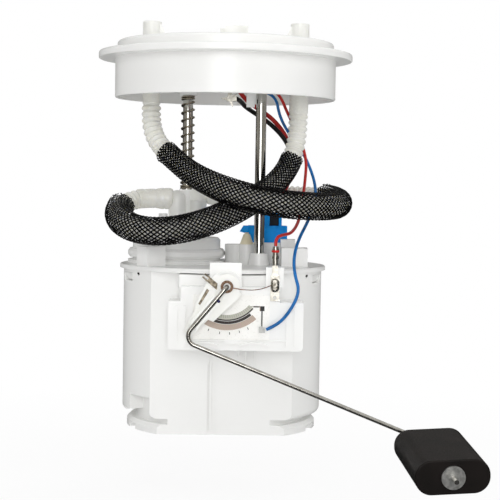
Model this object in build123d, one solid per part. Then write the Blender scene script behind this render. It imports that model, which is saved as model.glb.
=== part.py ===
from build123d import *
import os
from math import cos, degrees, pi, radians, sin, tan

# In-tank fuel pump module, in millimetres.
# Origin: centre of the lid flange's underside, which seats on the tank. +Z is up, -Y is the front.

# ---- lid
flange_radius = 67.0
flange_thickness = 3.8
flange_edge = 1.2
cup_radius = 58.3
cup_wall = 2.5
cup_depth = 20.4
crown_radius = 57.2
crown_height = 9.3
crown_plate = 3.0
crown_round = 1.8
crown_step = 0.9
lid_rib_thickness = 1.6
lid_rib_depth = 5.0
lid_rib_count = 6
wire_post = (13.4, -5.5)
wire_post_size = (4.4, 3.4)
wire_post_drop = 24.6

# ---- hose nipples on the lid
nipple_x = 39.1
nipple_spigot_radius = 4.0
nipple_bore = 2.6
nipple_riser_radius = 4.95
nipple_rise = 10.8
nipple_collar_radius = 6.6
nipple_collar_height = 1.6
nipple_edge = 0.8
nipple_groove = (1.5, 0.7)
nipple_gusset = 7.5
nipple_spout_length = 31.0
nipple_barb_radius = 4.4
nipple_barb_pitch = 5.0
nipple_barb_count = 4
spigot_drop = 12.0
hole_clearance = 0.05

# ---- electrical connector on the lid
connector_x = 5.4
connector_width = 12.0
connector_length = 27.0
connector_wall = 1.5
connector_rise = 7.9
connector_sink = 8.0
connector_floor = 2.0
connector_foot_width = 15.4
connector_foot_height = 1.5
connector_lug = (2.6, 8.0, 2.8)
connector_rib_places = (2.2, 3.9, 5.4)
connector_rib_size = 0.7
pin_spacing = 5.0
pin_count = 4
pin_width = 2.8
pin_thickness = 0.8
pin_rise = 8.0
pin_drop = 9.0
earth_pin_x = 2.4
earth_pin_y = -10.8
earth_pin_end = 17.6

# ---- guide rods
rod_radius = 2.75
front_rod = (19.0, -8.0)
rear_rod = (-20.7, 40.0)
rod_boss_radius = 5.2
rod_boss_drop = 16.0
rod_tail = 3.0
rod_chamfer = 0.6
guide_clearance = 0.06
clip_radius = 4.9
clip_thickness = 0.8
clip_groove_depth = 0.55
clip_slot = 3.6
clip_clearance = 0.05

# ---- lift spring on the rear rod
spring_wire = 0.9
spring_inner_clearance = 0.12
spring_coils = 11
spring_seat_gap = 0.05

# ---- pot
lift_travel = 25.0
cover_drop = 107.6
pot_height = 85.4
pot_radius = 52.5
pot_wall = 2.2
pot_flat = 38.0
pot_bottom_round = 3.0
pot_belly_drop = 77.6
recess_radius = 45.0
recess_drop = 66.9
recess_from_angle, recess_to_angle = 187.0, 226.3
recess_lug_angle, recess_lug_height = 206.0, 8.0
foot_radius = 50.0
foot_bore_radius = 42.0
foot_height = 5.0
foot_slot_width = 9.0
foot_slot_height = 2.8
foot_slot_count = 8
apron_left, apron_right = -27.0, 25.0
seam_x, seam_width, seam_depth = -4.7, 4.4, 0.7
seam_top_drop = 49.0
window_angles = (20.0, 160.0, 200.0, 340.0)
window_width, window_height = 14.0, 4.4
window_drop = 4.0
vent_hole_radius = 0.9
vent_hole_drop = 4.3
vent_hole_angles = (215.0, 325.0)
latch_ribs = ((1.0, 5.0), (8.6, 5.0), (12.4, 9.0), (16.8, 13.5))
latch_rib_thickness, latch_rib_depth = 1.2, 2.6

# ---- pot cover
rim_radius = 54.5
rim_thickness = 2.2
rim_round = 0.8
cover_spigot_depth = 6.0
cover_spigot_wall = 2.0
cover_fit = 0.3
guide_depth = 10.4
front_guide_top = 6.2
front_guide_radius, front_guide_base = 4.8, 6.0
tower_top_radius, tower_base_radius = 4.4, 5.6
tower_height = 39.0
tower_rib_reach = 5.0
corner_block_radius = 47.2
corner_block_angle = 218.8
corner_block_size = (11.7, 9.0, 10.0)
right_box = (30.5, 44.2, -19.0, -6.0, 9.5)
right_box_tall = (30.5, 38.2, -6.0, 3.0, 13.5)
moulding_wall = 1.6
turret_centre = (6.6, 4.0)
turret_radius, turret_height = 5.6, 10.3
cap_seat_centre = (12.5, -1.5)
cap_seat_radius, cap_seat_height = 4.0, 10.6
plug_seat = (13.0, 39.0, 7.0, 23.0, 11.2)

# ---- fuel pump
pump_axis = (-25.0, 8.0)
can_radius = 19.0
can_wall = 1.2
can_top_drop = -4.6
can_length = 63.0
cap_height = 4.0
pump_nipple_radius = 3.4
pump_nipple_height = 9.0
inlet_height = 5.0
inlet_nipple_radius = 5.0
inlet_nipple_height = 3.0
strainer_radius = 15.0
strainer_height = 8.0
magnet_thickness = 3.4
magnet_length = 34.0
magnet_arc = 130.0
armature_radius = 13.4
armature_length = 32.0
armature_slots = 8
commutator_radius = 7.5
commutator_height = 6.0
shaft_radius = 1.6
bearing_clearance = 0.05
impeller_radius = 15.5
impeller_thickness = 3.6
impeller_vanes = 24
brush_size = (4.0, 5.0, 9.0)

# ---- pump holder on the cover
holder_radius = 23.5
holder_wall = 2.0
holder_flange_radius = 26.0
holder_flange_height = 1.6
holder_height = 13.6
holder_bead_radius = 26.0
holder_bead_low, holder_bead_high = 2.9, 7.6
damper_height = 6.0
vent_tube = (-32.0, -3.0)
vent_tube_radius, vent_tube_bore = 2.35, 1.6
vent_tube_rise = 12.7
elbow_radius = 4.6
elbow_spigot_radius = 4.0
elbow_skirt_radius = 6.4
elbow_skirt_height = 9.0
outlet_elbow_rise = 20.5
outlet_spigot_end = -33.0
return_elbow = (-14.0, 24.5)
return_elbow_rise = 23.0
return_spigot_end = -5.0
relief_valve = (-14.6, 9.6)
relief_radius = 3.7
relief_rise = 20.0

# ---- wiring plug on the cover
plug_block = (13.5, 34.5, 8.0, 22.0)
plug_block_height = 8.9
plug_tower = (22.0, 31.5, 9.5, 20.5)
plug_tower_height = 6.9
plug_slot = (24.9, 29.9, 2.4)
plug_wing = (8.9, 5.0, 3.2)
plug_step = (28.2, 1.0)

# ---- level sender on the pot's flat front; heights are from the cover's rim, down or up
pivot_x, pivot_below_rim = 2.2, 7.8
sender_depth = 19.5
sender_wall = 1.8
sender_corner = 2.0
sender_low = (-26.6, 40.3, 39.9, 15.8)
sender_high = (-20.6, 28.3, 8.4)
sender_inner_ribs = (-12.0, 0.0, 12.0, 26.0)
hook_x = (-6.4, 9.4)
hook_rise = 3.6
hook_thickness = 2.4
hook_reach = 4.2
rosette_radius, rosette_height = 7.4, 2.0
stub_radius = 2.6
stub_length = 6.5
terminal_tower = (21.4, 30.2, 1.6, 5.0)
rail_height = 1.4
wave_places = (-9.0, 16.0)
wave_width, wave_height = 7.5, 1.5
board_x = (-14.5, 23.5)
board_low, board_high = 34.4, 12.3
board_thickness = 0.8
track_thickness = 0.12
track_radii = ((14.4, 17.3, -50.0), (17.5, 18.9, -40.4), (19.1, 21.9, -42.2))
track_start_angle = 42.0
tick_radius, tick_length, tick_width = 22.9, 1.2, 0.35
tick_angles = (22.0, 8.0, -4.0, -16.0, -27.0)
link_x, link_high, link_low = 19.7, 18.8, 27.6
link_width, link_pad = 0.6, 2.4
lead_start = 13.6
pad_x, pad_below_rim = 19.8, 29.2
pad_size = 3.0
terminal_x = 25.9
terminal_blade = (4.4, 0.6, 15.0, 2.4)
terminal_neck = (2.8, 4.1)
terminal_crimp_radius = 1.45
terminal_crimp_length = 9.4
terminal_crimp_lap = 1.5
crimp_bands = (1.4, 4.6)
crimp_band_radius, crimp_band_width = 1.75, 1.5
solder_above_end = 7.8
solder_width, solder_length, solder_height = 4.2, 6.8, 1.3
ring_outer, ring_inner, ring_thickness = 3.1, 1.8, 0.8

# ---- float arm
wire_radius = 1.1
arm_gap = 1.0
arm_elbow = (-19.6, 26.3)
arm_end = (101.5, 74.8)
arm_leg_in = 14.0
arm_tip_length = 71.0
arm_bends = (2.4, 5.0, 4.0)
carrier_offset, carrier_thickness = 4.4, 2.0
carrier_hub_radius = 4.7
hub_gap = 0.15
carrier_right = ((-2.0, 8.0), (17.5, 6.1), (18.2, 3.5), (31.0, 2.3))
carrier_left = ((31.0, -2.3), (19.0, -4.4), (17.0, -6.0), (5.0, -8.8), (-2.0, -8.0))
carrier_slot = (7.0, 15.5, -6.9, -5.3)
strip_inset = 0.06
rail_from, rail_to, rail_wall = 7.0, 25.4, 1.2
rail_lip = 0.6
contact_thickness = 0.4
contact_strip = (1.8, 4.4, -12.4, -2.9)
finger_from, finger_to, finger_v = 8.2, 17.6, (-1.6, 1.6)
swing_clearance = 0.05

# ---- float
float_width, float_height, float_length = 34.3, 16.0, 58.0
float_round = 7.6
float_edge = 0.8
float_axis = (0.0482, -0.9960, -0.0731)
float_start = 5.0
float_bore_clearance = 0.08
nut_radius, nut_thickness = 5.45, 1.0
nut_gap = 0.1

# ---- foot valve and jet pump in the pot's floor
valve_centre = (14.0, 16.0)
valve_hole_radius = 6.5
valve_disc_radius = 8.6
valve_hub_radius = 2.8
valve_arm_width = 1.4
valve_arm_count = 3
valve_disc_thickness = 1.2
valve_stem_radius = 1.5
valve_lift = 1.5
valve_gap = 0.05
jet_centre = (16.0, -14.0)
jet_radius, jet_length = 3.2, 26.0

# ---- hoses: corrugated tube in a braided sleeve, each from a lid spigot to its elbow
hose_radius = 5.0
sleeve_bore, sleeve_radius = 5.3, 7.2
return_hose_route = [
    (-39.1, 0.0, -12.0), (-39.1, 0.0, -23.0), (-39.0, -1.8, -34.4), (-35.6, -6.8, -44.0),
    (-26.4, -16.2, -52.6), (-15.6, -29.4, -61.0), (-1.0, -43.0, -67.8), (14.6, -51.0, -72.3),
    (31.0, -51.8, -75.0),
    (47.0, -42.0, -76.0), (58.0, -26.0, -75.6), (61.4, -8.0, -74.0), (58.5, 9.0, -72.0),
    (50.0, 20.5, -71.2), (37.0, 26.8, -70.8), (22.0, 27.6, -70.6), (8.0, 24.5, -71.0),
    (-4.9, 24.5, -71.0),
]
supply_hose_route = [
    (39.1, 0.0, -12.0), (39.1, 0.0, -27.5), (38.2, -1.4, -43.5), (34.0, -7.6, -56.0),
    (25.6, -20.0, -66.0), (13.4, -30.2, -74.4), (0.0, -36.6, -81.5), (-15.0, -43.8, -87.0),
    (-31.5, -47.0, -89.8), (-45.5, -40.0, -88.5), (-53.5, -26.0, -84.5), (-55.5, -10.0, -79.5),
    (-51.5, 2.0, -75.4), (-43.0, 8.0, -73.5), (-33.1, 8.0, -73.5),
]
return_sleeve_index = (3, 12)
supply_sleeve_index = (2, 11)

# ---- wires: sender pair (thin) and pump pair (thick)
thin_wire = 0.8
thick_wire = 1.2
signal_wire_route = [
    (5.4, 7.5, -9.0), (6.2, 8.0, -13.5), (12.0, 7.0, -16.2), (21.0, 5.6, -15.2),
    (27.4, 5.2, -19.0), (29.0, 5.6, -28.0), (33.8, 6.6, -37.0), (40.6, 8.8, -45.0),
    (46.0, 8.2, -55.0), (49.2, 2.0, -66.0), (47.6, -12.0, -75.6), (43.3, -28.0, -84.0),
    (37.6, -44.0, -93.0), (35.0, -54.2, -101.6), (35.6, -58.0, -109.6), (37.8, -59.6, -116.4),
    (36.0, -60.4, -122.6), (31.4, -60.2, -130.0), (26.6, -59.4, -134.6), (21.9, -59.3, -136.6),
]
ground_wire_route = [
    (5.4, 2.5, -9.0), (6.6, 2.4, -13.0), (13.0, 2.0, -14.4), (22.0, 1.8, -13.4),
    (29.0, 2.2, -17.0), (33.4, 4.4, -27.0), (39.8, 8.4, -38.6), (44.2, 6.0, -51.0),
    (43.0, -2.0, -63.6), (41.0, -15.0, -75.0), (38.6, -29.0, -84.2), (34.4, -42.0, -89.6),
    (29.6, -51.6, -90.0), (25.9, -57.8, -91.2), (25.9, -57.8, -95.4),
]
positive_wire_route = [
    (5.4, -2.5, -9.0), (6.4, -1.6, -14.4), (10.6, 3.0, -20.0), (17.4, 4.8, -24.8),
    (25.4, 6.8, -29.6), (34.2, 10.8, -38.6), (40.6, 13.6, -50.0), (39.4, 15.4, -63.0),
    (33.6, 15.6, -71.6), (29.4, 15.0, -76.0), (29.4, 15.0, -80.5),
]
negative_wire_route = [
    (6.0, -10.6, -20.6), (8.4, -6.5, -21.6), (10.2, -0.6, -23.8), (16.0, 2.6, -27.4),
    (24.2, 4.6, -32.4),
    (33.0, 8.0, -41.0), (37.6, 11.0, -52.0), (35.6, 12.2, -63.0), (29.4, 12.0, -70.6),
    (24.4, 12.4, -75.6), (24.4, 12.4, -80.5),
]

# ---- levels and centres worked out from the sizes above
crown_under = crown_height - crown_plate
rim_z = -cover_drop
pot_top_z = rim_z - rim_thickness
bottom_z = rim_z - pot_height
belly_z = rim_z - pot_belly_drop
floor_z = belly_z + pot_wall
recess_z = rim_z - recess_drop
guide_z = rim_z - guide_depth
clip_z = guide_z - clip_clearance
rod_end_z = clip_z - clip_thickness - rod_tail
holder_top_z = rim_z + holder_height
can_top_z = rim_z - can_top_drop
can_low_z = can_top_z - can_length
outlet_z = holder_top_z + outlet_elbow_rise
return_z = holder_top_z + return_elbow_rise
tower_top_z = rim_z + tower_height
plug_low_z = rim_z + plug_seat[4]
pivot_z = rim_z - pivot_below_rim
sender_face = pot_flat + sender_depth
sender_floor_z = rim_z - sender_low[2]
board_face = sender_face + board_thickness
stub_end = sender_face + stub_length
neck_top_z = rim_z + terminal_neck[1]
solder_z = rim_z - terminal_blade[2] + solder_above_end
hub_back = sender_face + rosette_height + hub_gap
carrier_back = sender_face + carrier_offset
carrier_front = carrier_back + carrier_thickness
arm_plane = carrier_front + arm_gap + wire_radius
rail_front = arm_plane + rail_lip
arm_along = Vector(arm_elbow[0] - pivot_x, 0, -arm_elbow[1]).normalized()
arm_across = Vector(-arm_along.Z, 0, arm_along.X)
arm_corner = Vector(arm_end[0], -arm_plane, pivot_z - arm_end[1])
float_way = Vector(*float_axis).normalized()

# the bare pigtail from the pivot's ring to the solder, in front of the moving carrier
pigtail_wire = 0.22
pigtail_end_depth = 1.2
pigtail_route = [
    (pivot_x + ring_outer, -stub_end - ring_thickness / 2, pivot_z - 0.6),
    (pivot_x + 7.6, -64.7, pivot_z - 1.3), (pivot_x + 13.0, -64.1, pivot_z - 1.5),
    (pivot_x + 17.6, -61.6, pivot_z - 0.9),
    (terminal_x - solder_width / 2 + 0.3, -sender_face - pigtail_end_depth, solder_z),
]


def upright(radius, low, high, at=(0.0, 0.0)):
    return Pos(at[0], at[1], low) * Cylinder(
        radius, high - low, align=(Align.CENTER, Align.CENTER, Align.MIN)
    )


def cone(low_radius, high_radius, low, high, at=(0.0, 0.0)):
    return Pos(at[0], at[1], low) * Cone(
        low_radius, high_radius, high - low, align=(Align.CENTER, Align.CENTER, Align.MIN)
    )


def block(x_low, x_high, y_low, y_high, z_low, z_high):
    return Pos(x_low, y_low, z_low) * Box(
        x_high - x_low, y_high - y_low, z_high - z_low, align=(Align.MIN,) * 3
    )


def lathe(outline, at=(0.0, 0.0)):
    wire = Polyline(*[(r, 0, z) for r, z in outline], close=True)
    return Pos(at[0], at[1], 0) * revolve(make_face(wire), Axis.Z)


def depthwise(radius, y_front, y_back, x, z):
    """A cylinder along Y, between two depths."""
    return Pos(x, y_front, z) * Rot(-90, 0, 0) * Cylinder(
        radius, y_back - y_front, align=(Align.CENTER, Align.CENTER, Align.MIN)
    )


def flatted(radius, flat, low, high):
    """A round column with one flat side, at Y = -flat."""
    half = Pos(0, (radius - flat) / 2, 0) * Rectangle(2 * radius, radius + flat)
    return extrude(Pos(0, 0, low) * (Circle(radius) & half), amount=high - low)


def rim_edges(body, radius, z):
    """The circular edges of a body that have this radius and height."""
    circles = body.edges().filter_by(GeomType.CIRCLE)
    return circles.filter_by(lambda e: abs(e.radius - radius) < 0.01 and abs(e.center().Z - z) < 0.01)


def sector(inner, outer, start, end, low, high):
    """A piece of a ring between two angles, in degrees from +X towards +Y."""
    def on(radius, angle):
        return (radius * cos(radians(angle)), radius * sin(radians(angle)))

    middle = (start + end) / 2
    edges = [
        Line(on(inner, start), on(outer, start)),
        ThreePointArc(on(outer, start), on(outer, middle), on(outer, end)),
        Line(on(outer, end), on(inner, end)),
        ThreePointArc(on(inner, end), on(inner, middle), on(inner, start)),
    ]
    return extrude(Pos(0, 0, low) * make_face(edges), amount=high - low)


def corner_radii(route):
    """The largest arc that each corner's two runs leave room for."""
    points = [Vector(*p) for p in route]
    radii = []
    for before, corner, after in zip(points, points[1:], points[2:]):
        run = min((corner - before).length, (after - corner).length)
        turn = radians((corner - before).get_angle(after - corner))
        radii.append(0.45 * run / tan(turn / 2))
    return radii


def path_of(route):
    return FilletPolyline(*route, radius=corner_radii(route))


def tube(route, radius, bore=0.0):
    path = path_of(route)
    section = Circle(radius) - Circle(bore) if bore else Circle(radius)
    return sweep(Plane(origin=path @ 0, z_dir=path % 0) * section, path=path)


def print_route(name, route, radius, solid):
    length = path_of(route).length
    share = solid.volume / (pi * radius * radius * length)
    tightest = min(corner_radii(route)) / (2 * radius)
    print(f"{name}: {length:.1f} mm long, tightest {tightest:.1f} diameters, volume {share:.4f}")


# ---- lid

def lid():
    body = lathe([
        (0, crown_height), (crown_radius, crown_height),
        (crown_radius, flange_thickness + crown_step),
        (crown_radius + crown_step, flange_thickness + crown_step),
        (crown_radius + crown_step, flange_thickness), (flange_radius, flange_thickness),
        (flange_radius, 0), (cup_radius, 0), (cup_radius, -cup_depth),
        (cup_radius - cup_wall, -cup_depth), (cup_radius - cup_wall, crown_under),
        (0, crown_under),
    ])
    body = fillet(rim_edges(body, crown_radius, crown_height), crown_round)
    body = fillet(rim_edges(body, flange_radius, flange_thickness), flange_edge)
    body = fillet(rim_edges(body, flange_radius, 0), flange_edge / 2)
    body = fillet(rim_edges(body, cup_radius, -cup_depth), cup_wall / 4)
    for rod in (front_rod, rear_rod):
        body += upright(rod_boss_radius, -rod_boss_drop, crown_under, rod)
    for side in (-1, 1):
        body += upright(nipple_collar_radius, crown_under - lid_rib_depth, crown_under,
                        (side * nipple_x, 0))
    reach = cup_radius - cup_wall + 0.5
    for n in range(lid_rib_count):
        angle = 360 / lid_rib_count * (n + 0.5)
        body += Rot(0, 0, angle) * block(reach * 0.5, reach, -lid_rib_thickness / 2,
                                         lid_rib_thickness / 2, crown_under - lid_rib_depth,
                                         crown_under)
    width, depth = wire_post_size
    x, y = wire_post
    body += block(x - width / 2, x + width / 2, y - depth / 2, y + depth / 2,
                  -wire_post_drop, crown_under)
    for rod in (front_rod, rear_rod):
        body -= upright(rod_radius + hole_clearance, -rod_boss_drop, crown_under, rod)
    for side in (-1, 1):
        body -= upright(nipple_spigot_radius + hole_clearance, -cup_depth, crown_height,
                        (side * nipple_x, 0))
    return body - connector_well(hole_clearance)


def connector_well(grown):
    """The space that the connector's body takes in the lid."""
    half_x = connector_width / 2 + grown
    half_y = connector_length / 2 + grown
    return block(connector_x - half_x, connector_x + half_x, -half_y, half_y,
                 -connector_sink, crown_height + connector_rise)


def nipple(side):
    """A flat-topped riser with inner spigot, collar, gusset and a barbed spout to the rear."""
    x = side * nipple_x
    top = crown_height + nipple_rise
    spout_z = top - nipple_riser_radius
    body = lathe([
        (0, -spigot_drop), (nipple_spigot_radius, -spigot_drop),
        (nipple_spigot_radius, crown_height), (nipple_collar_radius, crown_height),
        (nipple_collar_radius, crown_height + nipple_collar_height),
        (nipple_riser_radius, crown_height + 1.5 * nipple_collar_height),
        (nipple_riser_radius, top), (0, top),
    ], (x, 0))
    body = fillet(rim_edges(body, nipple_riser_radius, top), nipple_edge)
    width, depth = nipple_groove
    body -= block(x - width / 2, x + width / 2, -nipple_riser_radius - 1,
                  -nipple_riser_radius + depth, crown_height + 2 * nipple_collar_height, top)
    gusset = Polyline((x, 0, top - 2 * nipple_edge), (x, 0, crown_height),
                      (x - side * (nipple_riser_radius + nipple_gusset / 2), 0, crown_height),
                      (x - side * nipple_riser_radius, 0, top - 2 * nipple_edge), close=True)
    body += extrude(make_face(gusset), amount=nipple_riser_radius / 2, both=True)
    body += depthwise(nipple_barb_radius - 0.7, 0, nipple_spout_length, x, spout_z)
    for n in range(nipple_barb_count):
        tail = nipple_spout_length - n * nipple_barb_pitch
        barb = Cone(nipple_barb_radius, nipple_barb_radius - 0.7, nipple_barb_pitch * 0.8,
                    align=(Align.CENTER, Align.CENTER, Align.MAX))
        body += Pos(x, tail - nipple_barb_pitch * 0.8, spout_z) * Rot(90, 0, 0) * barb
    body -= upright(nipple_bore, -spigot_drop, spout_z, (x, 0))
    body -= Pos(x, 0, spout_z) * Sphere(nipple_bore)
    return body - depthwise(nipple_bore, 0, nipple_spout_length, x, spout_z)


def connector_housing():
    body = connector_well(0)
    half_foot = connector_foot_width / 2
    half_length = connector_length / 2 + (connector_foot_width - connector_width) / 2
    body += block(connector_x - half_foot, connector_x + half_foot, -half_length, half_length,
                  crown_height, crown_height + connector_foot_height)
    half_x = connector_width / 2 - connector_wall
    half_y = connector_length / 2 - connector_wall
    body -= block(connector_x - half_x, connector_x + half_x, -half_y, half_y,
                  -connector_sink + connector_floor, crown_height + connector_rise)
    top = crown_height + connector_rise
    side_x = connector_x - connector_width / 2
    lug_reach, lug_length, lug_height = connector_lug
    body += block(side_x - lug_reach, side_x, -lug_length / 2, lug_length / 2, top - lug_height,
                  top - 0.5)
    for x in connector_rib_places:
        for side in (-1, 1):
            body += Pos(connector_x + x, side * connector_length / 2, crown_height) * Box(
                connector_rib_size, 2 * connector_rib_size, connector_rise - 0.5,
                align=(Align.CENTER, Align.CENTER, Align.MIN))
    for y in pin_places():
        body -= block(connector_x - pin_thickness / 2, connector_x + pin_thickness / 2,
                      y - pin_width / 2, y + pin_width / 2, -connector_sink,
                      -connector_sink + connector_floor)
    return body - block(earth_pin_x - 0.5, earth_pin_x + 0.5, earth_pin_y - 1, earth_pin_y + 1,
                        -connector_sink, -connector_sink + connector_floor)


def pin_places():
    return [pin_spacing * (n - (pin_count - 1) / 2) for n in range(pin_count)]


def connector_pins():
    """One blade for each circuit, and the longer earth blade."""
    pins = Part() + [
        block(connector_x - pin_thickness / 2, connector_x + pin_thickness / 2, y - pin_width / 2,
              y + pin_width / 2, -pin_drop, -connector_sink + connector_floor + pin_rise)
        for y in pin_places()
    ]
    return pins + block(earth_pin_x - 0.5, earth_pin_x + 0.5, earth_pin_y - 1, earth_pin_y + 1,
                        -earth_pin_end, -connector_sink + connector_floor)


def earth_clip():
    """A four-pronged spade clip on the end of the earth blade."""
    z = -earth_pin_end - 3.0
    body = block(earth_pin_x - 1.6, earth_pin_x + 3.6, earth_pin_y - 1.6, earth_pin_y + 1.6,
                 z - 1.3, z + 1.3)
    for angle in (35, 100, 180, 290):
        prong = Polyline((0, 0, -1.1), (4.6, 0, -0.1), (4.6, 0, 0.1), (0, 0, 1.1), close=True)
        body += Pos(earth_pin_x, earth_pin_y, z) * Rot(0, -angle, 0) * extrude(
            make_face(prong), amount=0.7, both=True
        )
    body += block(earth_pin_x - 1.1, earth_pin_x + 1.1, earth_pin_y - 1.3, earth_pin_y + 1.3,
                  z + 1.3, -earth_pin_end + 2.0)
    return body - block(earth_pin_x - 0.5, earth_pin_x + 0.5, earth_pin_y - 1,
                        earth_pin_y + 1, -earth_pin_end, -earth_pin_end + 2.0)


# ---- guide rods, their clips and the spring

def guide_rod(at):
    body = upright(rod_radius, rod_end_z, crown_under, at)
    body = chamfer(body.edges().filter_by(GeomType.CIRCLE).sort_by(Axis.Z)[0], rod_chamfer)
    groove = upright(rod_radius + 1, clip_z - clip_thickness - 0.05, clip_z + 0.05, at)
    groove -= upright(rod_radius - clip_groove_depth, rod_end_z, crown_under, at)
    return body - groove


def rod_clip(at):
    """A snap ring in the rod's groove, on which the pot hangs when fully let down."""
    body = upright(clip_radius, clip_z - clip_thickness, clip_z, at)
    body -= upright(rod_radius - clip_groove_depth + 0.02, clip_z - clip_thickness, clip_z, at)
    return body - block(at[0] - clip_slot / 2, at[0] + clip_slot / 2, at[1], at[1] + clip_radius,
                        clip_z - clip_thickness, clip_z)


def lift_spring():
    radius = rod_radius + spring_inner_clearance + spring_wire / 2
    low = tower_top_z + spring_seat_gap + spring_wire / 2
    high = -rod_boss_drop - spring_seat_gap - spring_wire / 2
    coil = Helix(pitch=(high - low) / spring_coils, height=high - low, radius=radius)
    wire = sweep(Plane(origin=coil @ 0, z_dir=coil % 0) * Circle(spring_wire / 2),
                 path=coil, is_frenet=True)
    return Pos(rear_rod[0], rear_rod[1], low) * wire


# ---- pot and cover

def pot():
    body = flatted(pot_radius, pot_flat, belly_z, pot_top_z)
    rims = body.edges().filter_by(GeomType.CIRCLE).sort_by(Axis.Z)[0]
    body = fillet(rims, pot_bottom_round)
    body -= sector(recess_radius, pot_radius + 5, recess_from_angle, recess_to_angle, belly_z,
                   recess_z)
    inside = flatted(pot_radius - pot_wall, pot_flat - pot_wall, floor_z, pot_top_z)
    side = degrees(pot_wall / recess_radius)
    inside -= sector(recess_radius - pot_wall, pot_radius, recess_from_angle - side,
                     recess_to_angle + side, floor_z, recess_z + pot_wall)
    body -= inside
    body += sector(recess_radius - 0.5, pot_radius, recess_from_angle - 2, recess_lug_angle,
                   recess_z - recess_lug_height, recess_z + 0.5)
    body += pot_foot()
    body -= block(seam_x - seam_width / 2, seam_x + seam_width / 2, -pot_flat,
                  -pot_flat + seam_depth, bottom_z, rim_z - seam_top_drop)
    for angle in window_angles:
        body -= Rot(0, 0, angle) * block(
            pot_radius - pot_wall - 2, pot_radius + 2, -window_width / 2, window_width / 2,
            rim_z - window_drop - window_height, rim_z - window_drop)
    for angle in vent_hole_angles:
        body -= Rot(0, 0, angle) * Pos(pot_radius, 0, rim_z - vent_hole_drop) * Rot(0, 90, 0) * (
            Cylinder(vent_hole_radius, 3 * pot_wall))
    for x, height in latch_ribs:
        body += latch_rib(x, height)
    return body - upright(valve_hole_radius, belly_z, floor_z, valve_centre)


def latch_rib(x, height):
    """A tapering rib on the pot's flat, under the sender's bracket."""
    top = sender_floor_z - 0.3
    outline = Polyline((0, -pot_flat + 0.5, top), (0, -pot_flat - latch_rib_depth, top),
                       (0, -pot_flat - latch_rib_depth, top - 1.5),
                       (0, -pot_flat + 0.5, top - height), close=True)
    return Pos(x, 0, 0) * extrude(make_face(outline), amount=latch_rib_thickness / 2, both=True)


def pot_foot():
    """The slotted ring that the pot stands on, its neck, and the front apron."""
    neck = flatted(recess_radius, pot_flat, bottom_z + foot_height - 1, belly_z)
    ring = flatted(foot_radius, pot_flat, bottom_z, bottom_z + foot_height)
    ring = chamfer(ring.edges().filter_by(GeomType.CIRCLE).sort_by(Axis.Z)[-1],
                   foot_height - foot_slot_height - 0.4)
    for n in range(foot_slot_count):
        ring -= Rot(0, 0, 360 / foot_slot_count * (n + 0.5)) * block(
            foot_bore_radius * 0.7, foot_radius + 1, -foot_slot_width / 2, foot_slot_width / 2,
            bottom_z, bottom_z + foot_slot_height)
    body = neck + ring - flatted(foot_bore_radius, pot_flat - pot_wall, bottom_z, belly_z)
    return body + block(apron_left, apron_right, -pot_flat, -pot_flat + pot_wall, bottom_z,
                        belly_z)


def pot_cover():
    """The lid of the pot, with its guides, seats and snap hooks."""
    body = upright(rim_radius, pot_top_z, rim_z)
    body = fillet(body.edges().filter_by(GeomType.CIRCLE).sort_by(Axis.Z)[-1], rim_round)
    gap = pot_wall + cover_fit
    spigot = flatted(pot_radius - gap, pot_flat - gap, pot_top_z - cover_spigot_depth, pot_top_z)
    spigot -= flatted(pot_radius - gap - cover_spigot_wall, pot_flat - gap - cover_spigot_wall,
                      pot_top_z - cover_spigot_depth, pot_top_z)
    body += spigot
    for angle in window_angles:
        body += Rot(0, 0, angle) * snap_hook()
    body += cone(front_guide_base, front_guide_radius, rim_z, rim_z + front_guide_top, front_rod)
    body += upright(front_guide_radius, guide_z, pot_top_z, front_rod)
    body += cone(tower_base_radius, tower_top_radius, rim_z, tower_top_z, rear_rod)
    body += upright(tower_top_radius, guide_z, pot_top_z, rear_rod)
    for angle in (0, 180):
        body += tower_rib(angle)
    body += Rot(0, 0, corner_block_angle) * Pos(corner_block_radius, 0, rim_z) * hollow_block(
        *corner_block_size)
    for x_low, x_high, y_low, y_high, height in (right_box, right_box_tall):
        body += Pos((x_low + x_high) / 2, (y_low + y_high) / 2, rim_z) * hollow_block(
            x_high - x_low, y_high - y_low, height)
    body += upright(turret_radius, rim_z, rim_z + turret_height, turret_centre)
    body -= upright(turret_radius - moulding_wall, rim_z + 3, rim_z + turret_height,
                    turret_centre)
    body += upright(cap_seat_radius, rim_z, rim_z + cap_seat_height, cap_seat_centre)
    body += plug_walls()
    body -= upright(can_radius + holder_wall, pot_top_z, rim_z, pump_axis)
    for rod in (front_rod, rear_rod):
        body -= upright(rod_radius + guide_clearance, guide_z, tower_top_z, rod)
    return body


def snap_hook():
    """A ramped hook that springs into one of the pot's windows."""
    inner = pot_radius - pot_wall - cover_fit
    top = rim_z - window_drop - 0.2
    outline = Polyline((inner - 0.5, 0, top), (pot_radius - 0.3, 0, top),
                       (inner, 0, top - window_height + 0.4),
                       (inner - 0.5, 0, top - window_height + 0.4), close=True)
    return extrude(make_face(outline), amount=window_width / 2 - 0.3, both=True)


def tower_rib(angle):
    outline = Polyline((0, 0, rim_z), (tower_base_radius + tower_rib_reach, 0, rim_z),
                       (tower_top_radius - 0.5, 0, rim_z + 0.7 * tower_height),
                       (0, 0, rim_z + 0.7 * tower_height), close=True)
    rib = extrude(make_face(outline), amount=moulding_wall / 2, both=True)
    return Pos(rear_rod[0], rear_rod[1], 0) * Rot(0, 0, angle) * rib


def hollow_block(length, width, height):
    """A moulded box with an open top."""
    low = (Align.CENTER, Align.CENTER, Align.MIN)
    pocket = Box(length - 2 * moulding_wall, width - 2 * moulding_wall, height - 3, align=low)
    return Box(length, width, height, align=low) - Pos(0, 0, 3) * pocket


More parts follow.
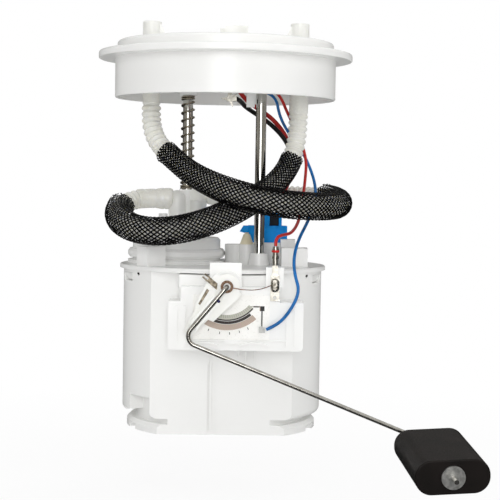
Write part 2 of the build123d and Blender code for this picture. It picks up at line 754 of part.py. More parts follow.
def plug_walls():
    x_low, x_high, y_low, y_high, height = plug_seat
    centre = Pos((x_low + x_high) / 2, (y_low + y_high) / 2, rim_z)
    return centre * Box(x_high - x_low, y_high - y_low, height,
                        align=(Align.CENTER, Align.CENTER, Align.MIN))


# ---- pump holder and what stands on it

def pump_holder():
    low = rim_z
    body = lathe([
        (holder_radius - holder_wall, low), (holder_flange_radius, low),
        (holder_flange_radius, low + holder_flange_height),
        (holder_radius, low + holder_flange_height), (holder_radius, low + holder_bead_low),
        (holder_bead_radius - 1, low + holder_bead_low),
        (holder_bead_radius, low + holder_bead_low + 1.4),
        (holder_bead_radius, low + holder_bead_high - 1.4),
        (holder_bead_radius - 1, low + holder_bead_high), (holder_radius, low + holder_bead_high),
        (holder_radius, holder_top_z - 1.2), (holder_radius - 1.2, holder_top_z),
        (0, holder_top_z), (0, holder_top_z - holder_wall),
        (holder_radius - holder_wall, holder_top_z - holder_wall),
    ], pump_axis)
    vent_top_z = holder_top_z + vent_tube_rise
    body += upright(vent_tube_radius, holder_top_z, vent_top_z, vent_tube)
    body -= upright(vent_tube_bore, holder_top_z - holder_wall, vent_top_z, vent_tube)
    body -= upright(pump_nipple_radius + 0.6, holder_top_z - holder_wall, holder_top_z, pump_axis)
    return body


def elbow(at, level, end_x, bore):
    """A riser on the holder that turns into a level hose spigot."""
    way = 1 if end_x > at[0] else -1
    body = upright(elbow_radius, holder_top_z, level, at)
    body += cone(elbow_skirt_radius, elbow_radius, holder_top_z, holder_top_z + elbow_skirt_height,
                 at)
    body += Pos(at[0], at[1], level) * Sphere(elbow_radius)
    reach = abs(end_x - at[0])
    spigot = Cylinder(elbow_spigot_radius, reach, align=(Align.CENTER, Align.CENTER, Align.MIN))
    body += Pos(at[0], at[1], level) * Rot(0, 90 * way, 0) * spigot
    body -= upright(bore, holder_top_z, level, at)
    passage = Cylinder(nipple_bore, reach, align=(Align.CENTER, Align.CENTER, Align.MIN))
    return body - Pos(at[0], at[1], level) * Rot(0, 90 * way, 0) * passage


def relief_housing():
    body = upright(relief_radius, holder_top_z, holder_top_z + relief_rise, relief_valve)
    return fillet(body.edges().filter_by(GeomType.CIRCLE).sort_by(Axis.Z)[-1], 1.2)


def cap_on_seat():
    top = rim_z + cap_seat_height
    body = cone(cap_seat_radius - 0.4, 1.7, top, top + 5.4, cap_seat_centre)
    return body + upright(1.1, top + 5.4, top + 6.2, cap_seat_centre)


def wiring_plug():
    """The pump's plug: a block, a latch tower with its slot, and a side wing."""
    x_low, x_high, y_low, y_high = plug_block
    low, high = plug_low_z, plug_low_z + plug_block_height
    body = block(x_low, x_high, y_low, y_high, low, high)
    body = chamfer(body.edges().filter_by(Axis.Z), 0.8)
    t_x_low, t_x_high, t_y_low, t_y_high = plug_tower
    body += block(t_x_low, t_x_high, t_y_low, t_y_high, high, high + plug_tower_height)
    body -= block(plug_slot[0], plug_slot[1], t_y_low, t_y_low + plug_slot[2], high,
                  high + plug_tower_height)
    body -= block(plug_step[0], x_high, y_low, y_low + plug_step[1], low, high)
    wing_x, wing_width, wing_height = plug_wing
    wing = Polyline((wing_x, 0, high - wing_height), (x_low + 0.8, 0, high - wing_height - 1.5),
                    (x_low + 0.8, 0, high), (wing_x + 2, 0, high), close=True)
    return body + Pos(0, y_low + wing_width / 2 + 1, 0) * extrude(
        make_face(wing), amount=wing_width / 2, both=True
    )


# ---- pump

def pump_can():
    body = upright(can_radius, can_low_z, can_top_z, pump_axis)
    return body - upright(can_radius - can_wall, can_low_z, can_top_z, pump_axis)


def pump_outlet_cap():
    """The cap with the outlet nipple, the shaft's upper bearing and the brush wells."""
    body = upright(can_radius, can_top_z, can_top_z + cap_height, pump_axis)
    body += upright(pump_nipple_radius, can_top_z + cap_height,
                    can_top_z + cap_height + pump_nipple_height, pump_axis)
    body += upright(shaft_radius + 2, can_top_z - 3, can_top_z, pump_axis)
    body -= upright(shaft_radius + bearing_clearance, can_top_z - 3, can_top_z, pump_axis)
    return body - upright(2.0, can_top_z + 1.0, can_top_z + cap_height + pump_nipple_height,
                          pump_axis)


def pump_inlet_cover():
    """The floor of the pump, with the lower bearing and the inlet nipple."""
    low = can_low_z - inlet_height
    body = upright(can_radius, low, can_low_z, pump_axis)
    body += upright(inlet_nipple_radius, low - inlet_nipple_height, low, pump_axis)
    body -= upright(shaft_radius + bearing_clearance, can_low_z - 3, can_low_z, pump_axis)
    port = (pump_axis[0] + 9.0, pump_axis[1])
    return body - upright(2.5, low, can_low_z, port)


def magnet(turn):
    outer = can_radius - can_wall - hole_clearance
    low = magnet_low_z()
    body = sector(outer - magnet_thickness, outer, turn - magnet_arc / 2, turn + magnet_arc / 2,
                  low, low + magnet_length)
    return Pos(pump_axis[0], pump_axis[1], 0) * body


def magnet_low_z():
    return can_low_z + impeller_thickness + 4.0


def impeller():
    """A disc with a ring of vanes cut into its edge."""
    low = can_low_z + 0.3
    body = upright(impeller_radius, low, low + impeller_thickness, pump_axis)
    notch = Box(2.0, 1.8, impeller_thickness, align=(Align.MAX, Align.CENTER, Align.MIN))
    for n in range(impeller_vanes):
        body -= Pos(pump_axis[0], pump_axis[1], low) * Rot(0, 0, 360 / impeller_vanes * n) * Pos(
            impeller_radius, 0, 0) * notch
    return body - upright(shaft_radius, low, low + impeller_thickness, pump_axis)


def armature():
    """A slotted stack of laminations on the shaft."""
    low = magnet_low_z() + (magnet_length - armature_length) / 2
    body = upright(armature_radius, low, low + armature_length, pump_axis)
    slot = Box(5.0, 2.2, armature_length, align=(Align.MAX, Align.CENTER, Align.MIN))
    for n in range(armature_slots):
        body -= Pos(pump_axis[0], pump_axis[1], low) * Rot(0, 0, 360 / armature_slots * n) * Pos(
            armature_radius + 0.1, 0, 0) * slot
    return body - upright(shaft_radius, low, low + armature_length, pump_axis)


def commutator():
    low = magnet_low_z() + (magnet_length + armature_length) / 2
    body = upright(commutator_radius, low, low + commutator_height, pump_axis)
    return body - upright(shaft_radius, low, low + commutator_height, pump_axis)


def armature_shaft():
    return upright(shaft_radius, can_low_z - 2.9, can_top_z - 0.2, pump_axis)


def brush(side):
    """A carbon brush between the outlet cap and the commutator's face."""
    width, depth, _ = brush_size
    low = magnet_low_z() + (magnet_length + armature_length) / 2 + commutator_height + 0.05
    x = pump_axis[0] + side * 5.8
    return block(x - width / 2, x + width / 2, pump_axis[1] - depth / 2, pump_axis[1] + depth / 2,
                 low, can_top_z)


def inlet_strainer():
    """A flat mesh sock on a collar over the inlet nipple."""
    top = can_low_z - inlet_height - 0.1
    low = top - inlet_nipple_height - strainer_height + 3
    body = upright(strainer_radius, low, top - inlet_nipple_height, pump_axis)
    body = fillet(body.edges().filter_by(GeomType.CIRCLE), 1.4)
    body += upright(inlet_nipple_radius + 1.6, top - inlet_nipple_height, top, pump_axis)
    return body - upright(inlet_nipple_radius + hole_clearance, top - inlet_nipple_height, top,
                          pump_axis)


def damper_ring():
    """The rubber ring that hangs the pump in its holder."""
    inner, outer = can_radius + hole_clearance, holder_radius - holder_wall - hole_clearance
    low = rim_z + 0.6
    body = upright(outer, low, low + damper_height, pump_axis)
    body -= upright(inner, low, low + damper_height, pump_axis)
    body += upright(outer, can_top_z + cap_height, holder_top_z - holder_wall, pump_axis)
    return body - upright(pump_nipple_radius + 3, can_top_z + cap_height,
                          holder_top_z - holder_wall, pump_axis)


# ---- level sender

def sender_bracket():
    """A box frame on the pot's flat, with the hook over the rim and the pivot stub."""
    x_low, x_high, _, high = sender_low
    top_x_low, top_x_high, top = sender_high
    low_z, high_z, top_z = sender_floor_z, rim_z - high, rim_z - top
    wall = sender_wall
    body = block(x_low, x_high, -sender_face, -pot_flat, low_z, high_z)
    body = fillet(body.edges().filter_by(Axis.Y).group_by(Axis.Z)[0], sender_corner)
    body += block(top_x_low, top_x_high, -sender_face, -pot_flat, high_z, top_z)
    body -= block(x_low + wall, x_high - wall, -sender_face + wall, -pot_flat, low_z + wall,
                  high_z - wall)
    body -= block(top_x_low + wall, top_x_high - wall, -sender_face + wall, -pot_flat,
                  high_z - wall, top_z - wall)
    for x in sender_inner_ribs:
        body += block(x - wall / 2, x + wall / 2, -sender_face + wall, -pot_flat, low_z + wall,
                      high_z)
    hook_top_z = rim_z + hook_rise
    body += block(hook_x[0], hook_x[1], -sender_face, -sender_face + hook_thickness, top_z,
                  hook_top_z)
    body += block(hook_x[0], hook_x[1], -sender_face, -sender_face + hook_thickness + hook_reach,
                  rim_z + 0.1, hook_top_z)
    tower_x_low, tower_x_high, tower_rise, tower_depth = terminal_tower
    body += block(tower_x_low, tower_x_high, -sender_face, -sender_face + tower_depth, top_z,
                  rim_z + tower_rise)
    body += depthwise(stub_radius + 2.4, -sender_face, -pot_flat - 3, pivot_x, pivot_z)
    body += depthwise(rosette_radius, -sender_face - rosette_height, -sender_face, pivot_x,
                      pivot_z)
    body -= depthwise(rosette_radius - 1.2, -sender_face - rosette_height,
                      -sender_face - rosette_height + 0.8, pivot_x, pivot_z)
    body += depthwise(stub_radius, -stub_end, -sender_face, pivot_x, pivot_z)
    for x in (x_low + 4, x_low + 8, x_high - 4, x_high - 8):
        body += block(x - 0.6, x + 0.6, -sender_face - 0.8, -sender_face, low_z + 2, high_z - 2)
    body += board_seat()
    return body - depthwise(wire_radius + swing_clearance, -stub_end, -pot_flat - 5, pivot_x,
                            pivot_z)


def board_seat():
    """The stop under the board's middle, and a waved spring rail on each side of it."""
    board_low_z = rim_z - board_low
    middle = (board_x[0] + board_x[1]) / 2
    seat = block(middle - 3.5, middle + 3.5, -sender_face - rail_height, -sender_face,
                 board_low_z - 2.2, board_low_z)
    for x in wave_places:
        ends = [(x - wave_width, board_low_z - 2.6), (x, board_low_z - 2.6 + wave_height),
                (x + wave_width, board_low_z - 2.6)]
        upper = ThreePointArc(*[(px, 0, pz) for px, pz in ends])
        lower = ThreePointArc(*[(px, 0, pz - 0.9) for px, pz in reversed(ends)])
        sides = [Line(upper @ 1, lower @ 0), Line(lower @ 1, upper @ 0)]
        rail = extrude(make_face([upper, lower] + sides), amount=rail_height, dir=(0, -1, 0))
        seat += Pos(0, -sender_face, 0) * rail
    return seat


def resistor_board():
    body = block(board_x[0], board_x[1], -board_face, -sender_face, rim_z - board_low,
                 rim_z - board_high)
    return body - depthwise(rosette_radius + 0.1, -board_face, -sender_face, pivot_x, pivot_z)


def on_board(shape):
    """Lays a flat outline, drawn about the pivot, on the board's face."""
    return Pos(pivot_x, -board_face, pivot_z) * Rot(90, 0, 0) * extrude(
        shape, amount=track_thickness
    )


def resistor_tracks():
    """The printed arcs, the scale ticks and the link to the signal pad."""
    tracks = Part()
    for inner, outer, end in track_radii:
        tracks += on_board(arc_band(inner, outer, track_start_angle, -end))
    for angle in tick_angles:
        tick = Pos(0, -tick_radius - tick_length / 2, 0) * Rectangle(tick_width, tick_length)
        tracks += on_board(Rot(0, 0, -angle) * tick)
    front, half_line, half_pad = -board_face - track_thickness, link_width / 2, link_pad / 2
    top_z, low_z = rim_z - link_high, rim_z - link_low
    tracks += block(link_x - half_line, link_x + half_line, front, -board_face, low_z, top_z)
    tracks += block(lead_start, link_x, front, -board_face, top_z + half_pad - link_width,
                    top_z + half_pad)
    return tracks + block(link_x - half_pad, link_x + half_pad, front, -board_face,
                          top_z - half_pad, top_z + half_pad)


def arc_band(inner, outer, left, right):
    """A flat band of an arc below the pivot, from left to right of straight down."""
    def on(radius, angle):
        return (radius * sin(radians(angle)), -radius * cos(radians(angle)))

    middle = (right - left) / 2
    return make_face([
        Line(on(inner, -left), on(outer, -left)),
        ThreePointArc(on(outer, -left), on(outer, middle), on(outer, right)),
        Line(on(outer, right), on(inner, right)),
        ThreePointArc(on(inner, right), on(inner, middle), on(inner, -left)),
    ])


def signal_terminal():
    pad_z = rim_z - pad_below_rim
    body = block(pad_x - pad_size / 2, pad_x + pad_size / 2, -board_face - 0.5, -board_face,
                 pad_z - pad_size / 2, pad_z + pad_size / 2)
    return body + depthwise(0.9, -board_face - 1.3, -board_face - 0.5, pad_x, pad_z)


def ground_terminal():
    """Crimp barrel with its two bands, neck and blade of the sender's earth terminal."""
    width, thickness, low, high = terminal_blade
    back, front = -sender_face, -sender_face - thickness
    body = block(terminal_x - width / 2, terminal_x + width / 2, front, back, rim_z - low,
                 rim_z - high)
    half_neck = terminal_neck[0] / 2
    body += block(terminal_x - half_neck, terminal_x + half_neck, front, back, rim_z - high,
                  neck_top_z)
    centre = (terminal_x, -sender_face - thickness / 2)
    barrel_low = neck_top_z - terminal_crimp_lap
    body += upright(terminal_crimp_radius, barrel_low, barrel_low + terminal_crimp_length, centre)
    for below_top in crimp_bands:
        band_top = barrel_low + terminal_crimp_length - below_top
        body += upright(crimp_band_radius, band_top - crimp_band_width, band_top, centre)
    hole = depthwise(0.8, front, back, terminal_x, rim_z - low + 1.6)
    return body - hole


def solder_joint():
    """A long drop of solder on the blade."""
    front = -sender_face - terminal_blade[1]
    outline = Pos(terminal_x, front, solder_z) * Rot(90, 0, 0) * SlotOverall(
        solder_length, solder_width, rotation=90)
    body = extrude(outline, amount=solder_height)
    return fillet(body.faces().sort_by(Axis.Y)[0].edges(), solder_height * 0.8)


def pivot_ring():
    body = depthwise(ring_outer, -stub_end - ring_thickness, -stub_end, pivot_x, pivot_z)
    return body - depthwise(ring_inner, -stub_end - ring_thickness, -stub_end, pivot_x, pivot_z)


# ---- float arm

def in_arm(u, v, depth):
    """A point u along the arm from the pivot and v across it, at one depth."""
    point = arm_along * u + arm_across * v
    return (pivot_x + point.X, -depth, pivot_z + point.Z)


def arm_prism(outline, back, front):
    """A plate in the arm's plane, from its outline in (along, across)."""
    face = make_face(Polyline(*[in_arm(u, v, back) for u, v in outline], close=True))
    return extrude(face, amount=front - back, dir=(0, -1, 0))


def wiper_carrier():
    """The moulded arm that turns on the stub and holds the rod."""
    body = arm_prism(carrier_right + carrier_left, carrier_back, carrier_front)
    body += depthwise(carrier_hub_radius + 1.6, -carrier_front, -carrier_back, pivot_x, pivot_z)
    body += depthwise(carrier_hub_radius, -carrier_front, -hub_back, pivot_x, pivot_z)
    u_low, u_high, v_low, v_high = carrier_slot
    slot = [(u_low, v_low), (u_high, v_low + 1.6), (u_high, v_high + 1.2), (u_low, v_high)]
    body -= arm_prism(slot, carrier_back, carrier_front)
    grip = wire_radius + 0.12
    body += arm_prism([(rail_from, -grip), (rail_to, -grip), (rail_to, grip), (rail_from, grip)],
                      carrier_front, arm_plane - wire_radius - swing_clearance)
    for side in (-1, 1):
        rail = [(rail_from, side * grip), (rail_to, side * grip),
                (rail_to, side * (grip + rail_wall)), (rail_from, side * (grip + rail_wall))]
        body += arm_prism(rail, carrier_front, rail_front)
    body -= depthwise(stub_radius + swing_clearance, -carrier_front, -hub_back, pivot_x, pivot_z)
    return body


def contact_spring():
    """The wiper's metal strip, with its cross tab and the finger on the tracks."""
    u_low, u_high, v_low, v_high = contact_strip
    strip = [(u_low, v_low), (u_low, v_high - 1.6), (u_high, v_high), (u_high, v_low)]
    body = arm_prism(strip, carrier_front, carrier_front + contact_thickness)
    body -= arm_prism([(2.6, v_low), (2.6, v_low + 3), (3.6, v_low + 3), (3.6, v_low)],
                      carrier_front, carrier_front + contact_thickness)
    face = board_face + track_thickness
    profile = [(finger_from, carrier_back), (finger_to, face + contact_thickness + 0.05),
               (finger_to, face + 0.05), (finger_from, carrier_back - contact_thickness)]
    low, high = finger_v
    ends = []
    for u, depth in profile:
        ends.append(in_arm(u, low, depth))
    side = make_face(Polyline(*ends, close=True))
    finger = extrude(side, amount=high - low, dir=arm_across)
    pad = arm_prism([(finger_from - 3, low), (finger_from - 3, high), (finger_from, high),
                     (finger_from, low)], carrier_back - contact_thickness, carrier_back)
    return Part() + [body, finger + pad, slot_strip()]


def slot_strip():
    """The metal strip that shows in the carrier's slot."""
    u_low, u_high, v_low, v_high = carrier_slot
    inset = strip_inset
    outline = [(u_low + inset, v_low + inset), (u_high - inset, v_low + 1.6 + inset),
               (u_high - inset, v_high + 1.2 - inset), (u_low + inset, v_high - inset)]
    return arm_prism(outline, carrier_back, carrier_front - 0.6)


def float_rod():
    corner = arm_corner
    tip = corner + float_way * arm_tip_length
    route = [(pivot_x, -arm_plane + arm_leg_in, pivot_z), (pivot_x, -arm_plane, pivot_z),
             (arm_elbow[0], -arm_plane, pivot_z - arm_elbow[1]), tuple(corner), tuple(tip)]
    path = FilletPolyline(*route, radius=list(arm_bends))
    return sweep(Plane(origin=path @ 0, z_dir=path % 0) * Circle(wire_radius), path=path)


def float_plane(along):
    """The plane across the float's axis, at a distance from the rod's last corner."""
    return Plane(origin=arm_corner + float_way * along, x_dir=(1, 0, 0.0482), z_dir=float_way)


def float_body():
    section = RectangleRounded(float_width, float_height, float_round)
    body = extrude(float_plane(float_start) * section, amount=float_length)
    ends = body.faces().sort_by(Axis.Y)
    body = fillet(ends[0].edges() + ends[-1].edges(), float_edge)
    bore = extrude(float_plane(float_start - 1) * Circle(wire_radius + float_bore_clearance),
                   amount=float_length + 2)
    return body - bore


def push_nut():
    start = float_start + float_length + nut_gap
    disc = extrude(float_plane(start) * Circle(nut_radius), amount=nut_thickness)
    collar = extrude(float_plane(start + nut_thickness) * Circle(wire_radius + 0.9), amount=1.0)
    hole = extrude(float_plane(start) * Circle(wire_radius + 0.02), amount=nut_thickness + 1.5)
    return disc + collar - hole


# ---- pot floor

def foot_valve():
    """A mushroom valve: disc over the hole, guide stem and stop below."""
    low = floor_z + valve_gap
    body = upright(valve_disc_radius, low, low + valve_disc_thickness, valve_centre)
    stem_low = belly_z - valve_lift - 0.4
    body += upright(valve_stem_radius, stem_low, low, valve_centre)
    return body + upright(2.6, stem_low - 1.0, stem_low, valve_centre)


def valve_guide():
    """The spider in the floor's hole that guides the valve's stem: a hub on arms."""
    body = upright(valve_hub_radius, belly_z, floor_z, valve_centre)
    for n in range(valve_arm_count):
        body += Pos(*valve_centre, 0) * Rot(0, 0, 360 / valve_arm_count * n) * block(
            0, valve_hole_radius, -valve_arm_width / 2, valve_arm_width / 2, belly_z, floor_z)
    body &= upright(valve_hole_radius - hole_clearance, belly_z, floor_z, valve_centre)
    return body - upright(valve_stem_radius + 0.1, belly_z, floor_z, valve_centre)


def jet_nozzle():
    """The suction jet's body, lying on the floor, with its feed stub."""
    x, y = jet_centre
    z = floor_z + jet_radius
    body = Pos(x, y, z) * Rot(0, 90, 0) * Cylinder(jet_radius, jet_length)
    body += Pos(x + jet_length / 2, y, z) * Rot(0, 90, 0) * Cone(
        jet_radius, 1.8, 5.0, align=(Align.CENTER, Align.CENTER, Align.MIN))
    body += upright(2.6, z, z + 9.0, (x - jet_length / 2 + 4, y))
    body += block(x - 7, x + 7, y - 2, y + 2, floor_z, z)
    return body - Pos(x, y, z) * Rot(0, 90, 0) * Cylinder(1.3, jet_length + 12)


def sleeve(route, start_run, end_run):
    """A braided sleeve over the hose, from the middle of one run to the middle of another."""
    points = [Vector(*p) for p in route]
    first = (points[start_run] + points[start_run + 1]) / 2
    last = (points[end_run] + points[end_run + 1]) / 2
    middle = route[start_run + 1:end_run + 1]
    radii = corner_radii(route)[start_run:end_run]
    path = FilletPolyline(tuple(first), *middle, tuple(last), radius=radii)
    section = Circle(sleeve_radius) - Circle(sleeve_bore)
    return sweep(Plane(origin=path @ 0, z_dir=path % 0) * section, path=path)


def cords():
    """Hoses and wires, each a plain solid along its route."""
    routes = {
        "return_hose": (return_hose_route, hose_radius),
        "supply_hose": (supply_hose_route, hose_radius),
        "signal_wire": (signal_wire_route, thin_wire),
        "ground_wire": (ground_wire_route, thin_wire),
        "positive_wire": (positive_wire_route, thick_wire),
        "negative_wire": (negative_wire_route, thick_wire),
        "pigtail": (pigtail_route, pigtail_wire),
    }
    made = {}
    for name, (route, radius) in routes.items():
        made[name] = tube(route, radius)
        print_route(name, route, radius, made[name])
    return made


def pieces():
    made = {
        "lid": lid(),
        "return_nipple": nipple(-1),
        "supply_nipple": nipple(1),
        "connector_housing": connector_housing(),
        "connector_pins": connector_pins(),
        "earth_clip": earth_clip(),
        "front_guide_rod": guide_rod(front_rod),
        "rear_guide_rod": guide_rod(rear_rod),
        "rod_clips": Part() + [rod_clip(front_rod), rod_clip(rear_rod)],
        "lift_spring": lift_spring(),
        "pot": pot(),
        "pot_cover": pot_cover(),
        "pump_holder": pump_holder(),
        "outlet_elbow": elbow(pump_axis, outlet_z, outlet_spigot_end,
                              pump_nipple_radius + hole_clearance),
        "return_elbow": elbow(return_elbow, return_z, return_spigot_end, nipple_bore),
        "relief_valve": relief_housing(),
        "test_cap": cap_on_seat(),
        "wiring_plug": wiring_plug(),
        "pump_can": pump_can(),
        "pump_outlet_cap": pump_outlet_cap(),
        "pump_inlet_cover": pump_inlet_cover(),
        "pump_magnets": Part() + [magnet(0), magnet(180)],
        "pump_brushes": Part() + [brush(-1), brush(1)],
        "inlet_strainer": inlet_strainer(),
        "damper_rings": damper_ring(),
        "impeller": impeller(),
        "armature": armature(),
        "commutator": commutator(),
        "armature_shaft": armature_shaft(),
        "sender_bracket": sender_bracket(),
        "resistor_board": resistor_board(),
        "resistor_tracks": resistor_tracks(),
        "signal_terminal": signal_terminal(),
        "ground_terminal": ground_terminal(),
        "solder_joint": solder_joint(),
        "pivot_ring": pivot_ring(),
        "wiper_carrier": wiper_carrier(),
        "contact_spring": contact_spring(),
        "float_rod": float_rod(),
        "float_body": float_body(),
        "push_nut": push_nut(),
        "foot_valve": foot_valve(),
        "valve_guide": valve_guide(),
        "jet_nozzle": jet_nozzle(),
        "return_sleeve": sleeve(return_hose_route, *return_sleeve_index),
        "supply_sleeve": sleeve(supply_hose_route, *supply_sleeve_index),
    }
    made.update(cords())
    return made


os.makedirs("parts", exist_ok=True)
for node, shape in pieces().items():
    export_step(shape, f"parts/{node}.step")
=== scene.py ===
import bpy
import math
from mathutils import Matrix, Vector


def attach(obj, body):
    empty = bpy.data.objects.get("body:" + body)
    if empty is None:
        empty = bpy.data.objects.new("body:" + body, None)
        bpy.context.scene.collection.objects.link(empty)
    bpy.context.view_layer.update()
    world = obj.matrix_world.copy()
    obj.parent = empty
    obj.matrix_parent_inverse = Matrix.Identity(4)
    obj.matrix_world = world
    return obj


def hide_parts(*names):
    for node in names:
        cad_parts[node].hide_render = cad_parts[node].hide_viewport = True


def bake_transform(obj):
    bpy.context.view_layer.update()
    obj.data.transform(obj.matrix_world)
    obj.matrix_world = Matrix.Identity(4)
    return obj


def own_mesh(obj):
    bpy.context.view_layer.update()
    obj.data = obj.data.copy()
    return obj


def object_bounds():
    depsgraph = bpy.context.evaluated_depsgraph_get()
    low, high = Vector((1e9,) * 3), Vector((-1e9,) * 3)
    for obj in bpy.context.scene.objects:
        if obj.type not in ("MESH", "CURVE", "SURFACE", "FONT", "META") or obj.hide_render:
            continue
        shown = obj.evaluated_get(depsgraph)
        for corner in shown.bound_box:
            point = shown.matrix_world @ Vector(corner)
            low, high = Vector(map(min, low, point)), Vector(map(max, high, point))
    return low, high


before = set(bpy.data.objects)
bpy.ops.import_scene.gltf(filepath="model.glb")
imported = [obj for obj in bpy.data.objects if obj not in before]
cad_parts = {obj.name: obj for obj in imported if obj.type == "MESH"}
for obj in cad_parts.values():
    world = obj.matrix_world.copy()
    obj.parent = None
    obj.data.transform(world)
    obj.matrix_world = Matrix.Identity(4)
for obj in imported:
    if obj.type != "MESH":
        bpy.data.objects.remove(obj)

cadBox = [list(corner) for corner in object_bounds()]
mm = 0.001


# an sRGB hex value as linear light, by the curve of the sRGB standard
def linear(hexValue, alpha=1.0):
    parts = [int(hexValue[i:i + 2], 16) / 255 for i in (1, 3, 5)]
    light = [c / 12.92 if c <= 0.04045 else ((c + 0.055) / 1.055) ** 2.4 for c in parts]
    return light + [alpha]


def addNode(tree, kind, inputs=None, **settings):
    node = tree.nodes.new(kind)
    for key, value in settings.items():
        setattr(node, key, value)
    for name, value in (inputs or {}).items():
        if isinstance(value, bpy.types.NodeSocket):
            tree.links.new(value, node.inputs[name])
        else:
            node.inputs[name].default_value = value
    return node


def newMaterial(name):
    material = bpy.data.materials.new(name)
    material.use_nodes = True
    tree = material.node_tree
    tree.nodes.clear()
    shader = addNode(tree, "ShaderNodeBsdfPrincipled")
    addNode(tree, "ShaderNodeOutputMaterial", {"Surface": shader.outputs["BSDF"]})
    place = addNode(tree, "ShaderNodeTexCoord").outputs["Object"]
    return material, tree, shader, place


# stops are pairs of a place from 0 to 1 and a colour
def setStops(ramp, stops):
    elements = ramp.color_ramp.elements
    while len(elements) < len(stops):
        elements.new(0.99)  # moved to its own place below
    for element, (place, colour) in zip(elements, stops):
        element.position = place
        element.color = linear(colour)


def newObject(name, data):
    thing = bpy.data.objects.new(name, data)
    bpy.context.scene.collection.objects.link(thing)
    return thing


# the mesh that an object has after its modifiers
def meshOf(thing):
    bpy.context.view_layer.update()
    return bpy.data.meshes.new_from_object(thing.evaluated_get(
        bpy.context.evaluated_depsgraph_get()))


# what all finishes share: the noise's detail, and the part of its range that is used
pattern = {"broadDetail": 1.5, "broadSpan": (0.35, 0.65), "fineDetail": 4.0,
           "fineSpan": (0.3, 0.7), "bump": 0.3}


# mottle, grain and the grain's height are in millimetres; real grain is mostly finer than a
# pixel, about half a millimetre, and is drawn coarser so that it shows. A finish whose two
# roughness values are the same is smooth and has no grain
def surface(name, look):
    material, tree, shader, place = newMaterial(name)
    if "stretch" in look:
        place = addNode(tree, "ShaderNodeMapping",
                        {"Vector": place, "Scale": look["stretch"]}).outputs["Vector"]
    broad = addNode(tree, "ShaderNodeTexNoise", {
        "Vector": place, "Scale": 1000 / look["mottle"], "Detail": pattern["broadDetail"]})
    tint = addNode(tree, "ShaderNodeValToRGB", {"Fac": broad.outputs["Fac"]})
    start, end = pattern["broadSpan"]
    setStops(tint, [(start, look["shade"]), (end, look["colour"])])
    tree.links.new(tint.outputs["Color"], shader.inputs["Base Color"])
    low, high = look["roughness"]
    if high > low:
        fine = addNode(tree, "ShaderNodeTexNoise", {
            "Vector": place, "Scale": 1000 / look["grain"], "Detail": pattern["fineDetail"]})
        start, end = pattern["fineSpan"]
        rough = addNode(tree, "ShaderNodeMapRange", {
            "Value": fine.outputs["Fac"], "From Min": start, "From Max": end,
            "To Min": low, "To Max": high})
        tree.links.new(rough.outputs["Result"], shader.inputs["Roughness"])
        bump = addNode(tree, "ShaderNodeBump", {
            "Height": fine.outputs["Fac"], "Strength": look.get("bump", pattern["bump"]),
            "Distance": look["height"] * mm})
        tree.links.new(bump.outputs["Normal"], shader.inputs["Normal"])
    else:
        shader.inputs["Roughness"].default_value = low
    for socket, value in look.get("shader", {}).items():
        shader.inputs[socket].default_value = value
    return material


# fluoropolymer wire coating in three colours, smooth and waxy
coating = {"mottle": 6, "grain": 0.9, "roughness": (0.28, 0.38), "height": 0.02,
           "shader": {"IOR": 1.4}}
metal = {"Metallic": 1.0}

